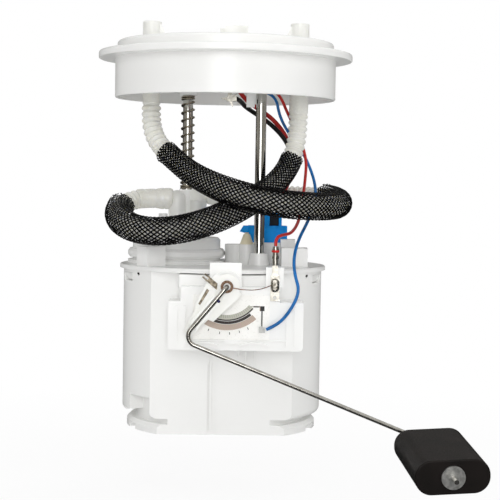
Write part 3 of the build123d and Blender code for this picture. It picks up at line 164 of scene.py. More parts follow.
finishes = {
    # glossy white acetal, injection moulded: clean highlights, a trace of flow mottle
    "mouldedAcetal": {"colour": "#f6f6f4", "shade": "#f4f4f2", "mottle": 60,
                      "roughness": (0.27, 0.27), "shader": {"IOR": 1.48}},
    # natural nylon, slightly waxy and a shade warmer than the acetal
    "naturalNylon": {"colour": "#f4f4f0", "shade": "#eeeee9", "mottle": 9, "grain": 1.6,
                     "roughness": (0.30, 0.36), "height": 0.03, "bump": 0.04,
                     "shader": {"IOR": 1.53, "Subsurface Weight": 0.08,
                                "Subsurface Radius": (0.003, 0.003, 0.0024)}},
    # corrugated polyamide hose, milky and a little see-through
    "extrudedPolyamide": {"colour": "#f2f1ea", "shade": "#ebeae2", "mottle": 12, "grain": 0.9,
                          "roughness": (0.20, 0.30), "height": 0.02, "bump": 0.12,
                          "shader": {"IOR": 1.53, "Subsurface Weight": 0.35,
                                     "Subsurface Radius": (0.005, 0.0048, 0.004)}},
    # blue glass-filled polyester of the wiring plug, dull sheen with a fibre mottle
    "bluePolyester": {"colour": "#009df6", "shade": "#0092e8", "mottle": 5, "grain": 0.8,
                      "roughness": (0.34, 0.44), "height": 0.03, "bump": 0.08,
                      "shader": {"IOR": 1.55, "Specular IOR Level": 0.1}},
    # closed-cell nitrile foam with a pressed skin: near black, very fine grain
    "nitrileFoam": {"colour": "#191412", "shade": "#120f0d", "mottle": 14, "grain": 0.45,
                    "roughness": (0.45, 0.62), "height": 0.08, "bump": 0.45,
                    "shader": {"IOR": 1.52, "Specular IOR Level": 0.16}},
    # braided polyester monofilament: flat black strands with only a faint shine
    "blackMonofilament": {"colour": "#070708", "shade": "#030304", "mottle": 2.5, "grain": 0.5,
                          "roughness": (0.26, 0.42), "height": 0.03, "bump": 0.2,
                          "shader": {"IOR": 1.5, "Specular IOR Level": 0.06}},
    "redInsulation": dict(coating, colour="#c8302c", shade="#b02522"),
    "blueInsulation": dict(coating, colour="#1671ba", shade="#105f9f"),
    "blackInsulation": dict(coating, colour="#1c1a1b", shade="#121112"),
    # blue marking paint, a thick glossy drop
    "bluePaint": {"colour": "#161460", "shade": "#0c0a3a", "mottle": 1.0, "grain": 0.5,
                  "roughness": (0.2, 0.3), "height": 0.01, "shader": {"IOR": 1.5}},
    # painted shade: the near-black blue of the shadow in the plug's slot, put on a thin plate
    # set in it
    "blackNylon": {"colour": "#0d1a26", "shade": "#08111a", "mottle": 2, "grain": 0.6,
                   "roughness": (0.4, 0.5), "height": 0.02,
                   "shader": {"IOR": 1.5, "Specular IOR Level": 0.2}},
    # nitrile rubber seals, matt; the dark discs in the vent holes use it too, as painted shade
    "nitrileRubber": {"colour": "#1b1b1b", "shade": "#121212", "mottle": 5, "grain": 0.5,
                      "roughness": (0.6, 0.8), "height": 0.05, "shader": {"IOR": 1.5}},
    # cream acetal, moulded: a warm, even satin
    "creamAcetal": {"colour": "#f1e9cd", "shade": "#e9dfbe", "mottle": 5, "grain": 0.8,
                    "roughness": (0.3, 0.42), "height": 0.03, "shader": {"IOR": 1.48}},
    # alumina board, fired and glazed: dense, even white
    "glazedAlumina": {"colour": "#f7f6f2", "shade": "#f0efea", "mottle": 6, "grain": 0.9,
                      "roughness": (0.25, 0.36), "height": 0.01, "shader": {"IOR": 1.7}},
    # soft solder with flux left on it: brownish and rippled
    "softSolder": {"colour": "#b5b1a8", "shade": "#6b665c", "mottle": 1.6, "grain": 0.8,
                   "roughness": (0.16, 0.36), "height": 0.15, "bump": 0.5, "shader": metal},
    # sintered ferrite and pressed carbon: dull, granular
    "sinteredFerrite": {"colour": "#34353a", "shade": "#26272b", "mottle": 3, "grain": 0.3,
                        "roughness": (0.5, 0.7), "height": 0.04, "shader": {"IOR": 1.6}},
    "pressedCarbon": {"colour": "#1f1f20", "shade": "#151516", "mottle": 2, "grain": 0.3,
                      "roughness": (0.45, 0.65), "height": 0.03, "shader": {"IOR": 1.6}},
    # ground and polished guide rod: faint lines around it
    "groundSteel": {"colour": "#d3d2ce", "shade": "#c6c5c0", "mottle": 3.0, "grain": 3.0,
                    "stretch": (0.3, 0.3, 14.0), "roughness": (0.07, 0.12), "height": 0.004,
                    "bump": 0.1, "shader": metal},
    # drawn steel wire of the float arm: smooth, a little grey, clouded here and there
    "drawnSteel": {"colour": "#c6c3bd", "shade": "#b0ada6", "mottle": 2.0, "grain": 1.6,
                   "roughness": (0.10, 0.18), "height": 0.008, "shader": metal},
    # oil-tempered spring wire: a warm brown-grey skin, a little oily
    "temperedSteel": {"colour": "#b3ab9b", "shade": "#938a7b", "mottle": 1.8, "grain": 1.0,
                      "roughness": (0.14, 0.24), "height": 0.01, "shader": metal},
    # stainless strip, stamped: bright and faintly clouded
    "stampedStainless": {"colour": "#c9c7c2", "shade": "#aaa8a3", "mottle": 1.5, "grain": 1.0,
                         "roughness": (0.18, 0.3), "height": 0.01, "shader": metal},
    # zinc plate on pressed steel, cloudy grey
    "zincPlate": {"colour": "#d2d2cf", "shade": "#b2b2af", "mottle": 1.8, "grain": 1.5,
                  "roughness": (0.40, 0.54), "height": 0.02, "shader": metal},
    # tin plate on stamped brass: whitish and satin
    "tinnedBrass": {"colour": "#cbc8bf", "shade": "#aeaaa0", "mottle": 2.5, "grain": 1.4,
                    "roughness": (0.24, 0.36), "height": 0.008, "bump": 0.15, "shader": metal},
    # phosphor bronze strip, rolled: brownish, satin
    "rolledBronze": {"colour": "#7c7466", "shade": "#3f382e", "mottle": 1.8, "grain": 1.2,
                     "roughness": (0.2, 0.34), "height": 0.008, "bump": 0.15, "shader": metal},
    # copper gone brown with age, dull
    "brownedCopper": {"colour": "#86705f", "shade": "#4e382b", "mottle": 0.9, "grain": 0.8,
                      "roughness": (0.36, 0.5), "height": 0.01, "shader": metal},
    # drawn copper, still bright
    "brightCopper": {"colour": "#a4755a", "shade": "#7a4f39", "mottle": 0.8, "grain": 0.8,
                     "roughness": (0.2, 0.35), "height": 0.01, "shader": metal},
    # die-cast aluminium, as cast: grey and rough
    "castAluminium": {"colour": "#b9babb", "shade": "#96979a", "mottle": 1.2, "grain": 0.8,
                      "roughness": (0.4, 0.6), "height": 0.05, "shader": metal},
    # stacked electrical steel: lines between the sheets
    "laminatedSteel": {"colour": "#8d8e91", "shade": "#55565a", "mottle": 3.0, "grain": 3.0,
                       "stretch": (0.2, 0.2, 10.0), "roughness": (0.35, 0.55), "height": 0.03,
                       "shader": metal},
}
materials = {name: surface(name, look) for name, look in finishes.items()}

# lengths in millimetres; rings hold an inner radius and an ink; the last ink also covers
# what lies beyond blackBeyond to the right
trackLook = {"centre": (2.2, -115.4), "span": 30,
             "rings": [(0, "#bdbdb0"), (16.6, "#2a211d"), (19.0, "#b8a698"),
                       (22.3, "#1c1a19")],
             "ticksPerTurn": 90, "tickShare": 0.2, "tickInk": "#8d8d80", "tickReach": 15.9,
             "blackBeyond": 16.6, "grain": 0.4, "grainDetail": 2.0, "grainShare": 0.2,
             "roughness": 0.45}


# fired thick-film inks on ceramic, satin with a fine grain: told apart by their distance
# from the pivot, with dark ticks on the inner one
def printedTracks(look):
    material, tree, shader, place = newMaterial("thickFilmInk")
    across, up = [c * mm for c in look["centre"]]
    span, lastInk = look["span"] * mm, look["rings"][-1][1]
    offset = addNode(tree, "ShaderNodeMapping", {
        "Vector": place, "Location": (-across, 0.0, -up), "Scale": (1, 0, 1)})
    away = addNode(tree, "ShaderNodeVectorMath", {0: offset.outputs["Vector"]},
                   operation="LENGTH")
    reach = addNode(tree, "ShaderNodeMath", {0: away.outputs["Value"], 1: span},
                    operation="DIVIDE")
    ramp = addNode(tree, "ShaderNodeValToRGB", {"Fac": reach.outputs[0]})
    ramp.color_ramp.interpolation = "CONSTANT"
    setStops(ramp, [(radius * mm / span, ink) for radius, ink in look["rings"]])
    axes = addNode(tree, "ShaderNodeSeparateXYZ", {0: offset.outputs["Vector"]})
    angle = addNode(tree, "ShaderNodeMath", {0: axes.outputs["Z"], 1: axes.outputs["X"]},
                    operation="ARCTAN2")
    turn = addNode(tree, "ShaderNodeMath", {
        0: angle.outputs[0], 1: look["ticksPerTurn"] / (2 * math.pi)}, operation="MULTIPLY")
    beat = addNode(tree, "ShaderNodeMath", {0: turn.outputs[0]}, operation="FRACT")
    tick = addNode(tree, "ShaderNodeMath", {0: beat.outputs[0], 1: look["tickShare"]},
                   operation="LESS_THAN")
    near = addNode(tree, "ShaderNodeMath", {
        0: away.outputs["Value"], 1: look["tickReach"] * mm}, operation="LESS_THAN")
    marked = addNode(tree, "ShaderNodeMath", {0: tick.outputs[0], 1: near.outputs[0]},
                     operation="MULTIPLY")
    inked = addNode(tree, "ShaderNodeMix", {
        0: marked.outputs[0], 6: ramp.outputs["Color"], 7: linear(look["tickInk"])},
        data_type="RGBA")
    aside = addNode(tree, "ShaderNodeMath", {
        0: axes.outputs["X"], 1: look["blackBeyond"] * mm}, operation="GREATER_THAN")
    joined = addNode(tree, "ShaderNodeMix", {
        0: aside.outputs[0], 6: inked.outputs[2], 7: linear(lastInk)}, data_type="RGBA")
    grain = addNode(tree, "ShaderNodeTexNoise", {
        "Vector": place, "Scale": 1000 / look["grain"], "Detail": look["grainDetail"]})
    speck = addNode(tree, "ShaderNodeMix", {
        0: look["grainShare"], 6: joined.outputs[2], 7: grain.outputs["Color"]},
        data_type="RGBA", blend_type="OVERLAY")
    tree.links.new(speck.outputs[2], shader.inputs["Base Color"])
    shader.inputs["Roughness"].default_value = look["roughness"]
    return material


materials["thickFilmInk"] = printedTracks(trackLook)

nodeFinish = {
    "mouldedAcetal": ["lid", "pot", "pot_cover", "pump_holder", "sender_bracket"],
    "naturalNylon": ["return_nipple", "supply_nipple", "outlet_elbow", "return_elbow",
                     "relief_valve", "pump_outlet_cap", "valve_guide", "jet_nozzle",
                     "wiper_carrier", "inlet_strainer", "connector_housing"],
    "bluePolyester": ["wiring_plug"],
    "tinnedBrass": ["connector_pins", "earth_clip", "ground_terminal"],
    "rolledBronze": ["contact_spring"],
    "groundSteel": ["front_guide_rod", "rear_guide_rod", "armature_shaft"],
    "drawnSteel": ["float_rod"],
    "stampedStainless": ["rod_clips"],
    "zincPlate": ["pump_can", "push_nut", "signal_terminal"],
    "creamAcetal": ["test_cap"],
    "glazedAlumina": ["resistor_board"],
    "thickFilmInk": ["resistor_tracks"],
    "softSolder": ["solder_joint"],
    "brownedCopper": ["pivot_ring"],
    "brightCopper": ["pigtail", "commutator"],
    "castAluminium": ["pump_inlet_cover", "impeller"],
    "sinteredFerrite": ["pump_magnets"],
    "pressedCarbon": ["pump_brushes"],
    "laminatedSteel": ["armature"],
    "nitrileRubber": ["damper_rings", "foot_valve"],
    "nitrileFoam": ["float_body"],
}


def dressNodes():
    for finish, nodes in nodeFinish.items():
        for node in nodes:
            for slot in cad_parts[node].material_slots:
                slot.material = materials[finish]


dressNodes()
print("materials on the CAD nodes")


# hoses and wires: the routes are the CAD model's, in millimetres, but the positive wire's
# middle lies up to 4 mm further in, behind the hose's sleeve
routes = {
    "returnHose": [
        (-39.1, 0.0, -12.0), (-39.1, 0.0, -23.0), (-39.0, -1.8, -34.4), (-35.6, -6.8, -44.0),
        (-26.4, -16.2, -52.6), (-15.6, -29.4, -61.0), (-1.0, -43.0, -67.8),
        (14.6, -51.0, -72.3), (31.0, -51.8, -75.0), (47.0, -42.0, -76.0),
        (58.0, -26.0, -75.6), (61.4, -8.0, -74.0),
        (58.5, 9.0, -72.0), (50.0, 20.5, -71.2), (37.0, 26.8, -70.8), (22.0, 27.6, -70.6),
        (8.0, 24.5, -71.0), (-4.9, 24.5, -71.0)],
    "supplyHose": [
        (39.1, 0.0, -12.0), (39.1, 0.0, -27.5), (38.2, -1.4, -43.5), (34.0, -7.6, -56.0),
        (25.6, -20.0, -66.0), (13.4, -30.2, -74.4), (0.0, -36.6, -81.5), (-15.0, -43.8, -87.0),
        (-31.5, -47.0, -89.8), (-45.5, -40.0, -88.5), (-53.5, -26.0, -84.5),
        (-55.5, -10.0, -79.5), (-51.5, 2.0, -75.4), (-43.0, 8.0, -73.5), (-33.1, 8.0, -73.5)],
    "signalWire": [
        (5.4, 7.5, -9.0), (6.2, 8.0, -13.5), (12.0, 7.0, -16.2), (21.0, 5.6, -15.2),
        (27.4, 5.2, -19.0), (29.0, 5.6, -28.0), (33.8, 6.6, -37.0), (40.6, 8.8, -45.0),
        (46.0, 8.2, -55.0), (49.2, 2.0, -66.0), (47.6, -12.0, -75.6), (43.3, -28.0, -84.0),
        (37.6, -44.0, -93.0), (35.0, -54.2, -101.6), (35.6, -58.0, -109.6),
        (37.8, -59.6, -116.4), (36.0, -60.4, -122.6), (31.4, -60.2, -130.0),
        (26.6, -59.4, -134.6), (21.9, -59.3, -136.6)],
    "groundWire": [
        (5.4, 2.5, -9.0), (6.6, 2.4, -13.0), (13.0, 2.0, -14.4), (22.0, 1.8, -13.4),
        (29.0, 2.2, -17.0), (33.4, 4.4, -27.0), (39.8, 8.4, -38.6), (44.2, 6.0, -51.0),
        (43.0, -2.0, -63.6), (41.0, -15.0, -75.0), (38.6, -29.0, -84.2), (34.4, -42.0, -89.6),
        (29.6, -51.6, -90.0), (25.9, -57.8, -91.2), (25.9, -57.8, -95.4)],
    "positiveWire": [
        (5.4, -2.5, -9.0), (6.4, -1.6, -14.4), (10.6, 3.0, -20.0), (17.4, 4.8, -24.8),
        (25.4, 6.8, -29.6), (33.2, 10.8, -38.6), (37.6, 13.6, -50.0), (35.4, 15.4, -63.0),
        (31.6, 15.6, -71.6), (29.4, 15.0, -76.0), (29.4, 15.0, -80.5)],
    "negativeWire": [
        (6.0, -10.6, -20.6), (8.4, -6.5, -21.6), (10.2, -0.6, -23.8), (16.0, 2.6, -27.4),
        (24.2, 4.6, -32.4), (33.0, 8.0, -41.0), (37.6, 11.0, -52.0), (35.6, 12.2, -63.0),
        (29.4, 12.0, -70.6), (24.4, 12.4, -75.6), (24.4, 12.4, -80.5)],
}


def newCurve(name, kind, points):
    data = bpy.data.curves.new(name, "CURVE")
    data.dimensions = "3D"
    spline = data.splines.new(kind)
    spline.points.add(len(points) - 1)
    for point, place in zip(spline.points, points):
        point.co = (*place, 1.0)
    return newObject(name, data)


# a smooth curve that the route's points pull on
def routeCurve(name, route, steps=24, order=3):
    curve = newCurve(name, "NURBS", [[c * mm for c in place] for place in route])
    curve.data.resolution_u = steps
    spline = curve.data.splines[0]
    spline.use_endpoint_u = True
    spline.order_u = order
    return curve


def pathOf(curve):
    line = meshOf(curve)
    points = [v.co.copy() for v in line.vertices]
    bpy.data.meshes.remove(line)
    return points


def lengthOf(points):
    return sum((b - a).length for a, b in zip(points, points[1:]))


def openTree(name, inputs):
    tree = bpy.data.node_groups.new(name, "GeometryNodeTree")
    tree.interface.new_socket("Geometry", in_out="OUTPUT", socket_type="NodeSocketGeometry")
    tree.interface.new_socket("Geometry", in_out="INPUT", socket_type="NodeSocketGeometry")
    for title, kind in inputs:
        tree.interface.new_socket(title, in_out="INPUT", socket_type="NodeSocket" + kind)
    return tree, addNode(tree, "NodeGroupInput").outputs


# smooth shading, real geometry and the material close every tree
def closeTree(tree, mesh, material):
    smooth = addNode(tree, "GeometryNodeSetShadeSmooth", {"Geometry": mesh})
    real = addNode(tree, "GeometryNodeRealizeInstances", {
        "Geometry": smooth.outputs["Geometry"]})
    coated = addNode(tree, "GeometryNodeSetMaterial", {
        "Geometry": real.outputs["Geometry"], "Material": material})
    addNode(tree, "NodeGroupOutput", {"Geometry": coated.outputs["Geometry"]})
    return tree


# a tube along a curve with rounded rings, and plain cuffs at both ends; a crest power
# under 1 makes the crests broad and the grooves narrow
def ringedTubeTree(crestPower=0.6):
    tree, value = openTree("ringedTube", [
        ("Crest Radius", "Float"), ("Root Radius", "Float"), ("Ring Pitch", "Float"),
        ("Cuff Radius", "Float"), ("Cuff Start", "Float"), ("Cuff End", "Float"),
        ("Cuff Taper", "Float"), ("Step", "Float"), ("Sides", "Int"), ("Material", "Material")])
    line = addNode(tree, "GeometryNodeResampleCurve", {
        "Curve": value["Geometry"], "Length": value["Step"]}, mode="LENGTH")
    along = addNode(tree, "GeometryNodeSplineParameter").outputs["Length"]
    whole = addNode(tree, "GeometryNodeSplineLength").outputs["Length"]
    rings = addNode(tree, "ShaderNodeMath", {0: along, 1: value["Ring Pitch"]},
                    operation="DIVIDE")
    turn = addNode(tree, "ShaderNodeMath", {0: rings.outputs[0], 1: 2 * math.pi},
                   operation="MULTIPLY")
    wave = addNode(tree, "ShaderNodeMath", {0: turn.outputs[0]}, operation="SINE")
    lifted = addNode(tree, "ShaderNodeMath", {0: wave.outputs[0], 1: 0.5, 2: 0.5},
                     operation="MULTIPLY_ADD")
    rounded = addNode(tree, "ShaderNodeMath", {0: lifted.outputs[0], 1: crestPower},
                      operation="POWER")
    ringed = addNode(tree, "ShaderNodeMapRange", {
        "Value": rounded.outputs[0], "To Min": value["Root Radius"],
        "To Max": value["Crest Radius"]})
    left = addNode(tree, "ShaderNodeMath", {0: whole, 1: along}, operation="SUBTRACT")
    cuffs = []
    for way, size in ((along, "Cuff Start"), (left.outputs[0], "Cuff End")):
        edge = addNode(tree, "ShaderNodeMath", {0: value[size], 1: value["Cuff Taper"]},
                       operation="ADD")
        cuffs.append(addNode(tree, "ShaderNodeMapRange", {
            "Value": way, "From Min": value[size], "From Max": edge.outputs[0],
            "To Min": 1.0, "To Max": 0.0}).outputs["Result"])
    plain = addNode(tree, "ShaderNodeMath", {0: cuffs[0], 1: cuffs[1]}, operation="MAXIMUM")
    radius = addNode(tree, "ShaderNodeMapRange", {
        "Value": plain.outputs[0], "To Min": ringed.outputs["Result"],
        "To Max": value["Cuff Radius"]}).outputs["Result"]
    sized = addNode(tree, "GeometryNodeSetCurveRadius", {
        "Curve": line.outputs["Curve"], "Radius": radius})
    profile = addNode(tree, "GeometryNodeCurvePrimitiveCircle", {
        "Radius": 1.0, "Resolution": value["Sides"]})
    skin = addNode(tree, "GeometryNodeCurveToMesh", {
        "Curve": sized.outputs["Curve"], "Profile Curve": profile.outputs["Curve"],
        "Fill Caps": True, "Scale": radius})
    return closeTree(tree, skin.outputs["Mesh"], value["Material"])


# two sets of flat strands wound both ways round a curve, each over two and under two; the
# sleeve widens along its first part, and its cut ends fray. A high tip power keeps the
# fraying to the very ends, and the stray range says how far strands lean in and out there
def braidTree(tipPower=60.0, strayRange=(-0.4, 1.0), strandSides=6):
    tree, value = openTree("braidedSleeve", [
        ("Strands", "Int"), ("Neck Radius", "Float"), ("Loop Radius", "Float"),
        ("Widen Start", "Float"), ("Widen End", "Float"), ("Turn Length", "Float"),
        ("Weave Height", "Float"), ("Strand Width", "Float"), ("Strand Thickness", "Float"),
        ("Fray", "Float"), ("Flare", "Float"), ("Step", "Float"), ("Seed", "Int"),
        ("Material", "Material")])
    line = addNode(tree, "GeometryNodeResampleCurve", {
        "Curve": value["Geometry"], "Length": value["Step"]}, mode="LENGTH")
    layers = []
    for way in (1, -1):
        copies = addNode(tree, "GeometryNodeDuplicateElements", {
            "Geometry": line.outputs["Curve"], "Amount": value["Strands"]}, domain="SPLINE")
        number = copies.outputs["Duplicate Index"]
        spline = addNode(tree, "GeometryNodeSplineParameter").outputs
        share = addNode(tree, "ShaderNodeMath", {0: number, 1: value["Strands"]},
                        operation="DIVIDE")
        run = addNode(tree, "ShaderNodeMath", {0: spline["Length"], 1: value["Turn Length"]},
                      operation="DIVIDE")
        turns = addNode(tree, "ShaderNodeMath", {
            0: run.outputs[0], 1: way, 2: share.outputs[0]}, operation="MULTIPLY_ADD")
        angle = addNode(tree, "ShaderNodeMath", {0: turns.outputs[0], 1: 2 * math.pi},
                        operation="MULTIPLY")
        crossings = addNode(tree, "ShaderNodeMath", {0: run.outputs[0], 1: value["Strands"]},
                            operation="MULTIPLY")
        met = addNode(tree, "ShaderNodeMath", {0: crossings.outputs[0], 1: way, 2: number},
                      operation="MULTIPLY_ADD")
        phase = addNode(tree, "ShaderNodeMath", {0: met.outputs[0], 1: math.pi,
                                                 2: -math.pi / 4}, operation="MULTIPLY_ADD")
        weave = addNode(tree, "ShaderNodeMath", {0: phase.outputs[0]}, operation="COSINE")
        height = addNode(tree, "ShaderNodeMath", {0: value["Weave Height"], 1: 0.5 * way},
                         operation="MULTIPLY")
        wide = addNode(tree, "ShaderNodeMapRange", {
            "Value": spline["Length"], "From Min": value["Widen Start"],
            "From Max": value["Widen End"], "To Min": value["Neck Radius"],
            "To Max": value["Loop Radius"]}, interpolation_type="SMOOTHSTEP")
        woven = addNode(tree, "ShaderNodeMath", {0: weave.outputs[0], 1: height.outputs[0],
                                                 2: wide.outputs["Result"]},
                        operation="MULTIPLY_ADD")
        centred = addNode(tree, "ShaderNodeMath", {0: spline["Factor"], 1: 2.0, 2: -1.0},
                          operation="MULTIPLY_ADD")
        endness = addNode(tree, "ShaderNodeMath", {0: centred.outputs[0]}, operation="ABSOLUTE")
        tip = addNode(tree, "ShaderNodeMath", {0: endness.outputs[0], 1: tipPower},
                      operation="POWER")
        loose = addNode(tree, "FunctionNodeRandomValue", {
            2: strayRange[0], 3: strayRange[1], "ID": number, "Seed": value["Seed"]},
            data_type="FLOAT")
        stray = addNode(tree, "ShaderNodeMath", {0: loose.outputs[1], 1: value["Flare"]},
                        operation="MULTIPLY")
        reach = addNode(tree, "ShaderNodeMath", {0: tip.outputs[0], 1: stray.outputs[0],
                                                 2: woven.outputs[0]}, operation="MULTIPLY_ADD")
        normal = addNode(tree, "GeometryNodeInputNormal").outputs["Normal"]
        tangent = addNode(tree, "GeometryNodeInputTangent").outputs["Tangent"]
        side = addNode(tree, "ShaderNodeVectorMath", {0: tangent, 1: normal},
                       operation="CROSS_PRODUCT").outputs["Vector"]
        parts = []
        for vector, part in ((normal, "COSINE"), (side, "SINE")):
            amount = addNode(tree, "ShaderNodeMath", {0: angle.outputs[0]}, operation=part)
            parts.append(addNode(tree, "ShaderNodeVectorMath", {
                0: vector, "Scale": amount.outputs[0]}, operation="SCALE").outputs["Vector"])
        outward = addNode(tree, "ShaderNodeVectorMath", {0: parts[0], 1: parts[1]},
                          operation="ADD")
        kept = addNode(tree, "GeometryNodeCaptureAttribute", {
            "Geometry": copies.outputs["Geometry"]}, domain="POINT")
        kept.capture_items.new("VECTOR", "Outward")
        tree.links.new(outward.outputs["Vector"], kept.inputs["Outward"])
        offset = addNode(tree, "ShaderNodeVectorMath", {
            0: kept.outputs["Outward"], "Scale": reach.outputs[0]}, operation="SCALE")
        moved = addNode(tree, "GeometryNodeSetPosition", {
            "Geometry": kept.outputs["Geometry"], "Offset": offset.outputs["Vector"]})
        faced = addNode(tree, "GeometryNodeSetCurveNormal", {
            "Curve": moved.outputs["Geometry"]}, mode="FREE")
        tree.links.new(kept.outputs["Outward"], faced.inputs["Normal"])
        whole = addNode(tree, "GeometryNodeSplineLength").outputs["Length"]
        cut = addNode(tree, "FunctionNodeRandomValue", {
            2: 0.0, 3: value["Fray"], "ID": number, "Seed": value["Seed"]}, data_type="FLOAT")
        keptEnd = addNode(tree, "ShaderNodeMath", {0: whole, 1: cut.outputs[1]},
                          operation="SUBTRACT")
        trimmed = addNode(tree, "GeometryNodeTrimCurve", {
            "Curve": faced.outputs["Curve"]}, mode="LENGTH")
        # where the trim starts and ends, as lengths
        lengths = [socket for socket in trimmed.inputs if socket.type == "VALUE"][-2:]
        tree.links.new(cut.outputs[1], lengths[0])
        tree.links.new(keptEnd.outputs[0], lengths[1])
        profile = addNode(tree, "GeometryNodeCurvePrimitiveCircle", {
            "Resolution": strandSides, "Radius": 0.5})
        size = addNode(tree, "ShaderNodeCombineXYZ", {
            "X": value["Strand Thickness"], "Y": value["Strand Width"], "Z": 1.0})
        flat = addNode(tree, "GeometryNodeTransform", {
            "Geometry": profile.outputs["Curve"], "Scale": size.outputs["Vector"]})
        skin = addNode(tree, "GeometryNodeCurveToMesh", {
            "Curve": trimmed.outputs["Curve"], "Profile Curve": flat.outputs["Geometry"],
            "Fill Caps": True})
        layers.append(skin.outputs["Mesh"])
    joined = addNode(tree, "GeometryNodeJoinGeometry")
    for layer in layers:
        tree.links.new(layer, joined.inputs["Geometry"])
    return closeTree(tree, joined.outputs["Geometry"], value["Material"])


# a compression spring that hangs from its first point: open coils between closed ends,
# whose pitch is in wire radii and a hair more than touching
def springTree(closedPitch=2.04):
    tree, value = openTree("coiledSpring", [
        ("Coil Radius", "Float"), ("Wire Radius", "Float"), ("Length", "Float"),
        ("Turns", "Float"), ("Closed Turns", "Float"), ("Steps", "Int"), ("Sides", "Int"),
        ("Material", "Material")])
    helix = addNode(tree, "GeometryNodeCurveSpiral", {
        "Resolution": value["Steps"], "Rotations": value["Turns"],
        "Start Radius": value["Coil Radius"], "End Radius": value["Coil Radius"],
        "Height": 0.0})
    factor = addNode(tree, "GeometryNodeSplineParameter").outputs["Factor"]
    gone = addNode(tree, "ShaderNodeMath", {0: factor, 1: value["Turns"]}, operation="MULTIPLY")
    last = addNode(tree, "ShaderNodeMath", {0: value["Turns"], 1: value["Closed Turns"]},
                   operation="SUBTRACT")
    closed = addNode(tree, "ShaderNodeMath", {
        0: value["Closed Turns"], 1: value["Wire Radius"]}, operation="MULTIPLY")
    seat = addNode(tree, "ShaderNodeMath", {0: closed.outputs[0], 1: closedPitch},
                   operation="MULTIPLY").outputs[0]
    openPart = addNode(tree, "ShaderNodeMath", {0: seat, 1: -2.0, 2: value["Length"]},
                       operation="MULTIPLY_ADD").outputs[0]
    drop = None
    for start, end, amount in ((0.0, value["Closed Turns"], seat),
                               (value["Closed Turns"], last.outputs[0], openPart),
                               (last.outputs[0], value["Turns"], seat)):
        step = addNode(tree, "ShaderNodeMapRange", {
            "Value": gone.outputs[0], "From Min": start, "From Max": end, "To Max": amount})
        drop = step.outputs["Result"] if drop is None else addNode(
            tree, "ShaderNodeMath", {0: drop, 1: step.outputs["Result"]},
            operation="ADD").outputs[0]
    down = addNode(tree, "ShaderNodeMath", {0: drop, 1: -1.0}, operation="MULTIPLY")
    offset = addNode(tree, "ShaderNodeCombineXYZ", {"Z": down.outputs[0]})
    coil = addNode(tree, "GeometryNodeSetPosition", {
        "Geometry": helix.outputs["Curve"], "Offset": offset.outputs["Vector"]})
    profile = addNode(tree, "GeometryNodeCurvePrimitiveCircle", {
        "Radius": value["Wire Radius"], "Resolution": value["Sides"]})
    skin = addNode(tree, "GeometryNodeCurveToMesh", {
        "Curve": coil.outputs["Geometry"], "Profile Curve": profile.outputs["Curve"],
        "Fill Caps": True})
    return closeTree(tree, skin.outputs["Mesh"], value["Material"])


# runs a node tree on an object and keeps the result as a plain mesh
def grown(name, source, tree, values, place=(0, 0, 0)):
    modifier = source.modifiers.new("grow", "NODES")
    modifier.node_group = tree
    for item in tree.interface.items_tree:
        if item.item_type == "SOCKET" and item.in_out == "INPUT" and item.name in values:
            modifier[item.identifier] = values[item.name]
    mesh = meshOf(source)
    mesh.name = name
    mesh.transform(Matrix.Translation(place))
    source.modifiers.remove(modifier)
    bpy.data.objects.remove(source)
    return newObject(name, mesh)


ringedTube = ringedTubeTree()
braid = braidTree()
coiledSpring = springTree()

# lengths in millimetres; a cord without a ring pitch is a plain round wire
hose = {"slot": "hose_nylon", "finish": "extrudedPolyamide", "stiffness": "stiff",
        "Crest Radius": 5.15, "Root Radius": 3.95, "Ring Pitch": 3.23, "Cuff End": 13.0}
redWire = {"slot": "insulation_red", "finish": "redInsulation", "stiffness": "medium"}
cords = {
    "returnHose": {"node": "return_hose", "Cuff Radius": 4.5, "Cuff Start": 10.4, **hose},
    "supplyHose": {"node": "supply_hose", "Cuff Radius": 5.0, "Cuff Start": 15.0, **hose},
    "signalWire": {"node": "signal_wire", "slot": "insulation_blue",
                   "finish": "blueInsulation", "stiffness": "medium", "Crest Radius": 0.8},
    "groundWire": {"node": "ground_wire", "Crest Radius": 0.8, **redWire},
    "positiveWire": {"node": "positive_wire", "Crest Radius": 1.2, **redWire},
    "negativeWire": {"node": "negative_wire", "slot": "insulation_black",
                     "finish": "blackInsulation", "stiffness": "medium", "Crest Radius": 1.2},
}
hoseMesh = {"Step": 0.38 * mm, "Sides": 36, "Cuff Taper": 1.2 * mm}
wireMesh = {"Step": 1.2 * mm, "Sides": 14, "Cuff Taper": 1.0 * mm, "Ring Pitch": 10 * mm,
            "Cuff Start": 0.0, "Cuff End": 0.0}


def tubeValues(look):
    crest = look["Crest Radius"]
    values = dict(hoseMesh if "Ring Pitch" in look else wireMesh, **{
        "Crest Radius": crest * mm, "Root Radius": look.get("Root Radius", crest) * mm,
        "Cuff Radius": look.get("Cuff Radius", crest) * mm})
    for title in ("Ring Pitch", "Cuff Start", "Cuff End"):
        if title in look:
            values[title] = look[title] * mm
    values["Material"] = materials[look["finish"]]
    return values


def makeCords():
    paths = {}
    for name, look in cords.items():
        curve = routeCurve(name + "Line", routes[name])
        paths[name] = pathOf(curve)
        piece = grown(name, curve, ringedTube, tubeValues(look))
        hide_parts(look["node"])
        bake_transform(piece)
        print("cord", name, round(lengthOf(paths[name]), 4))
    return paths


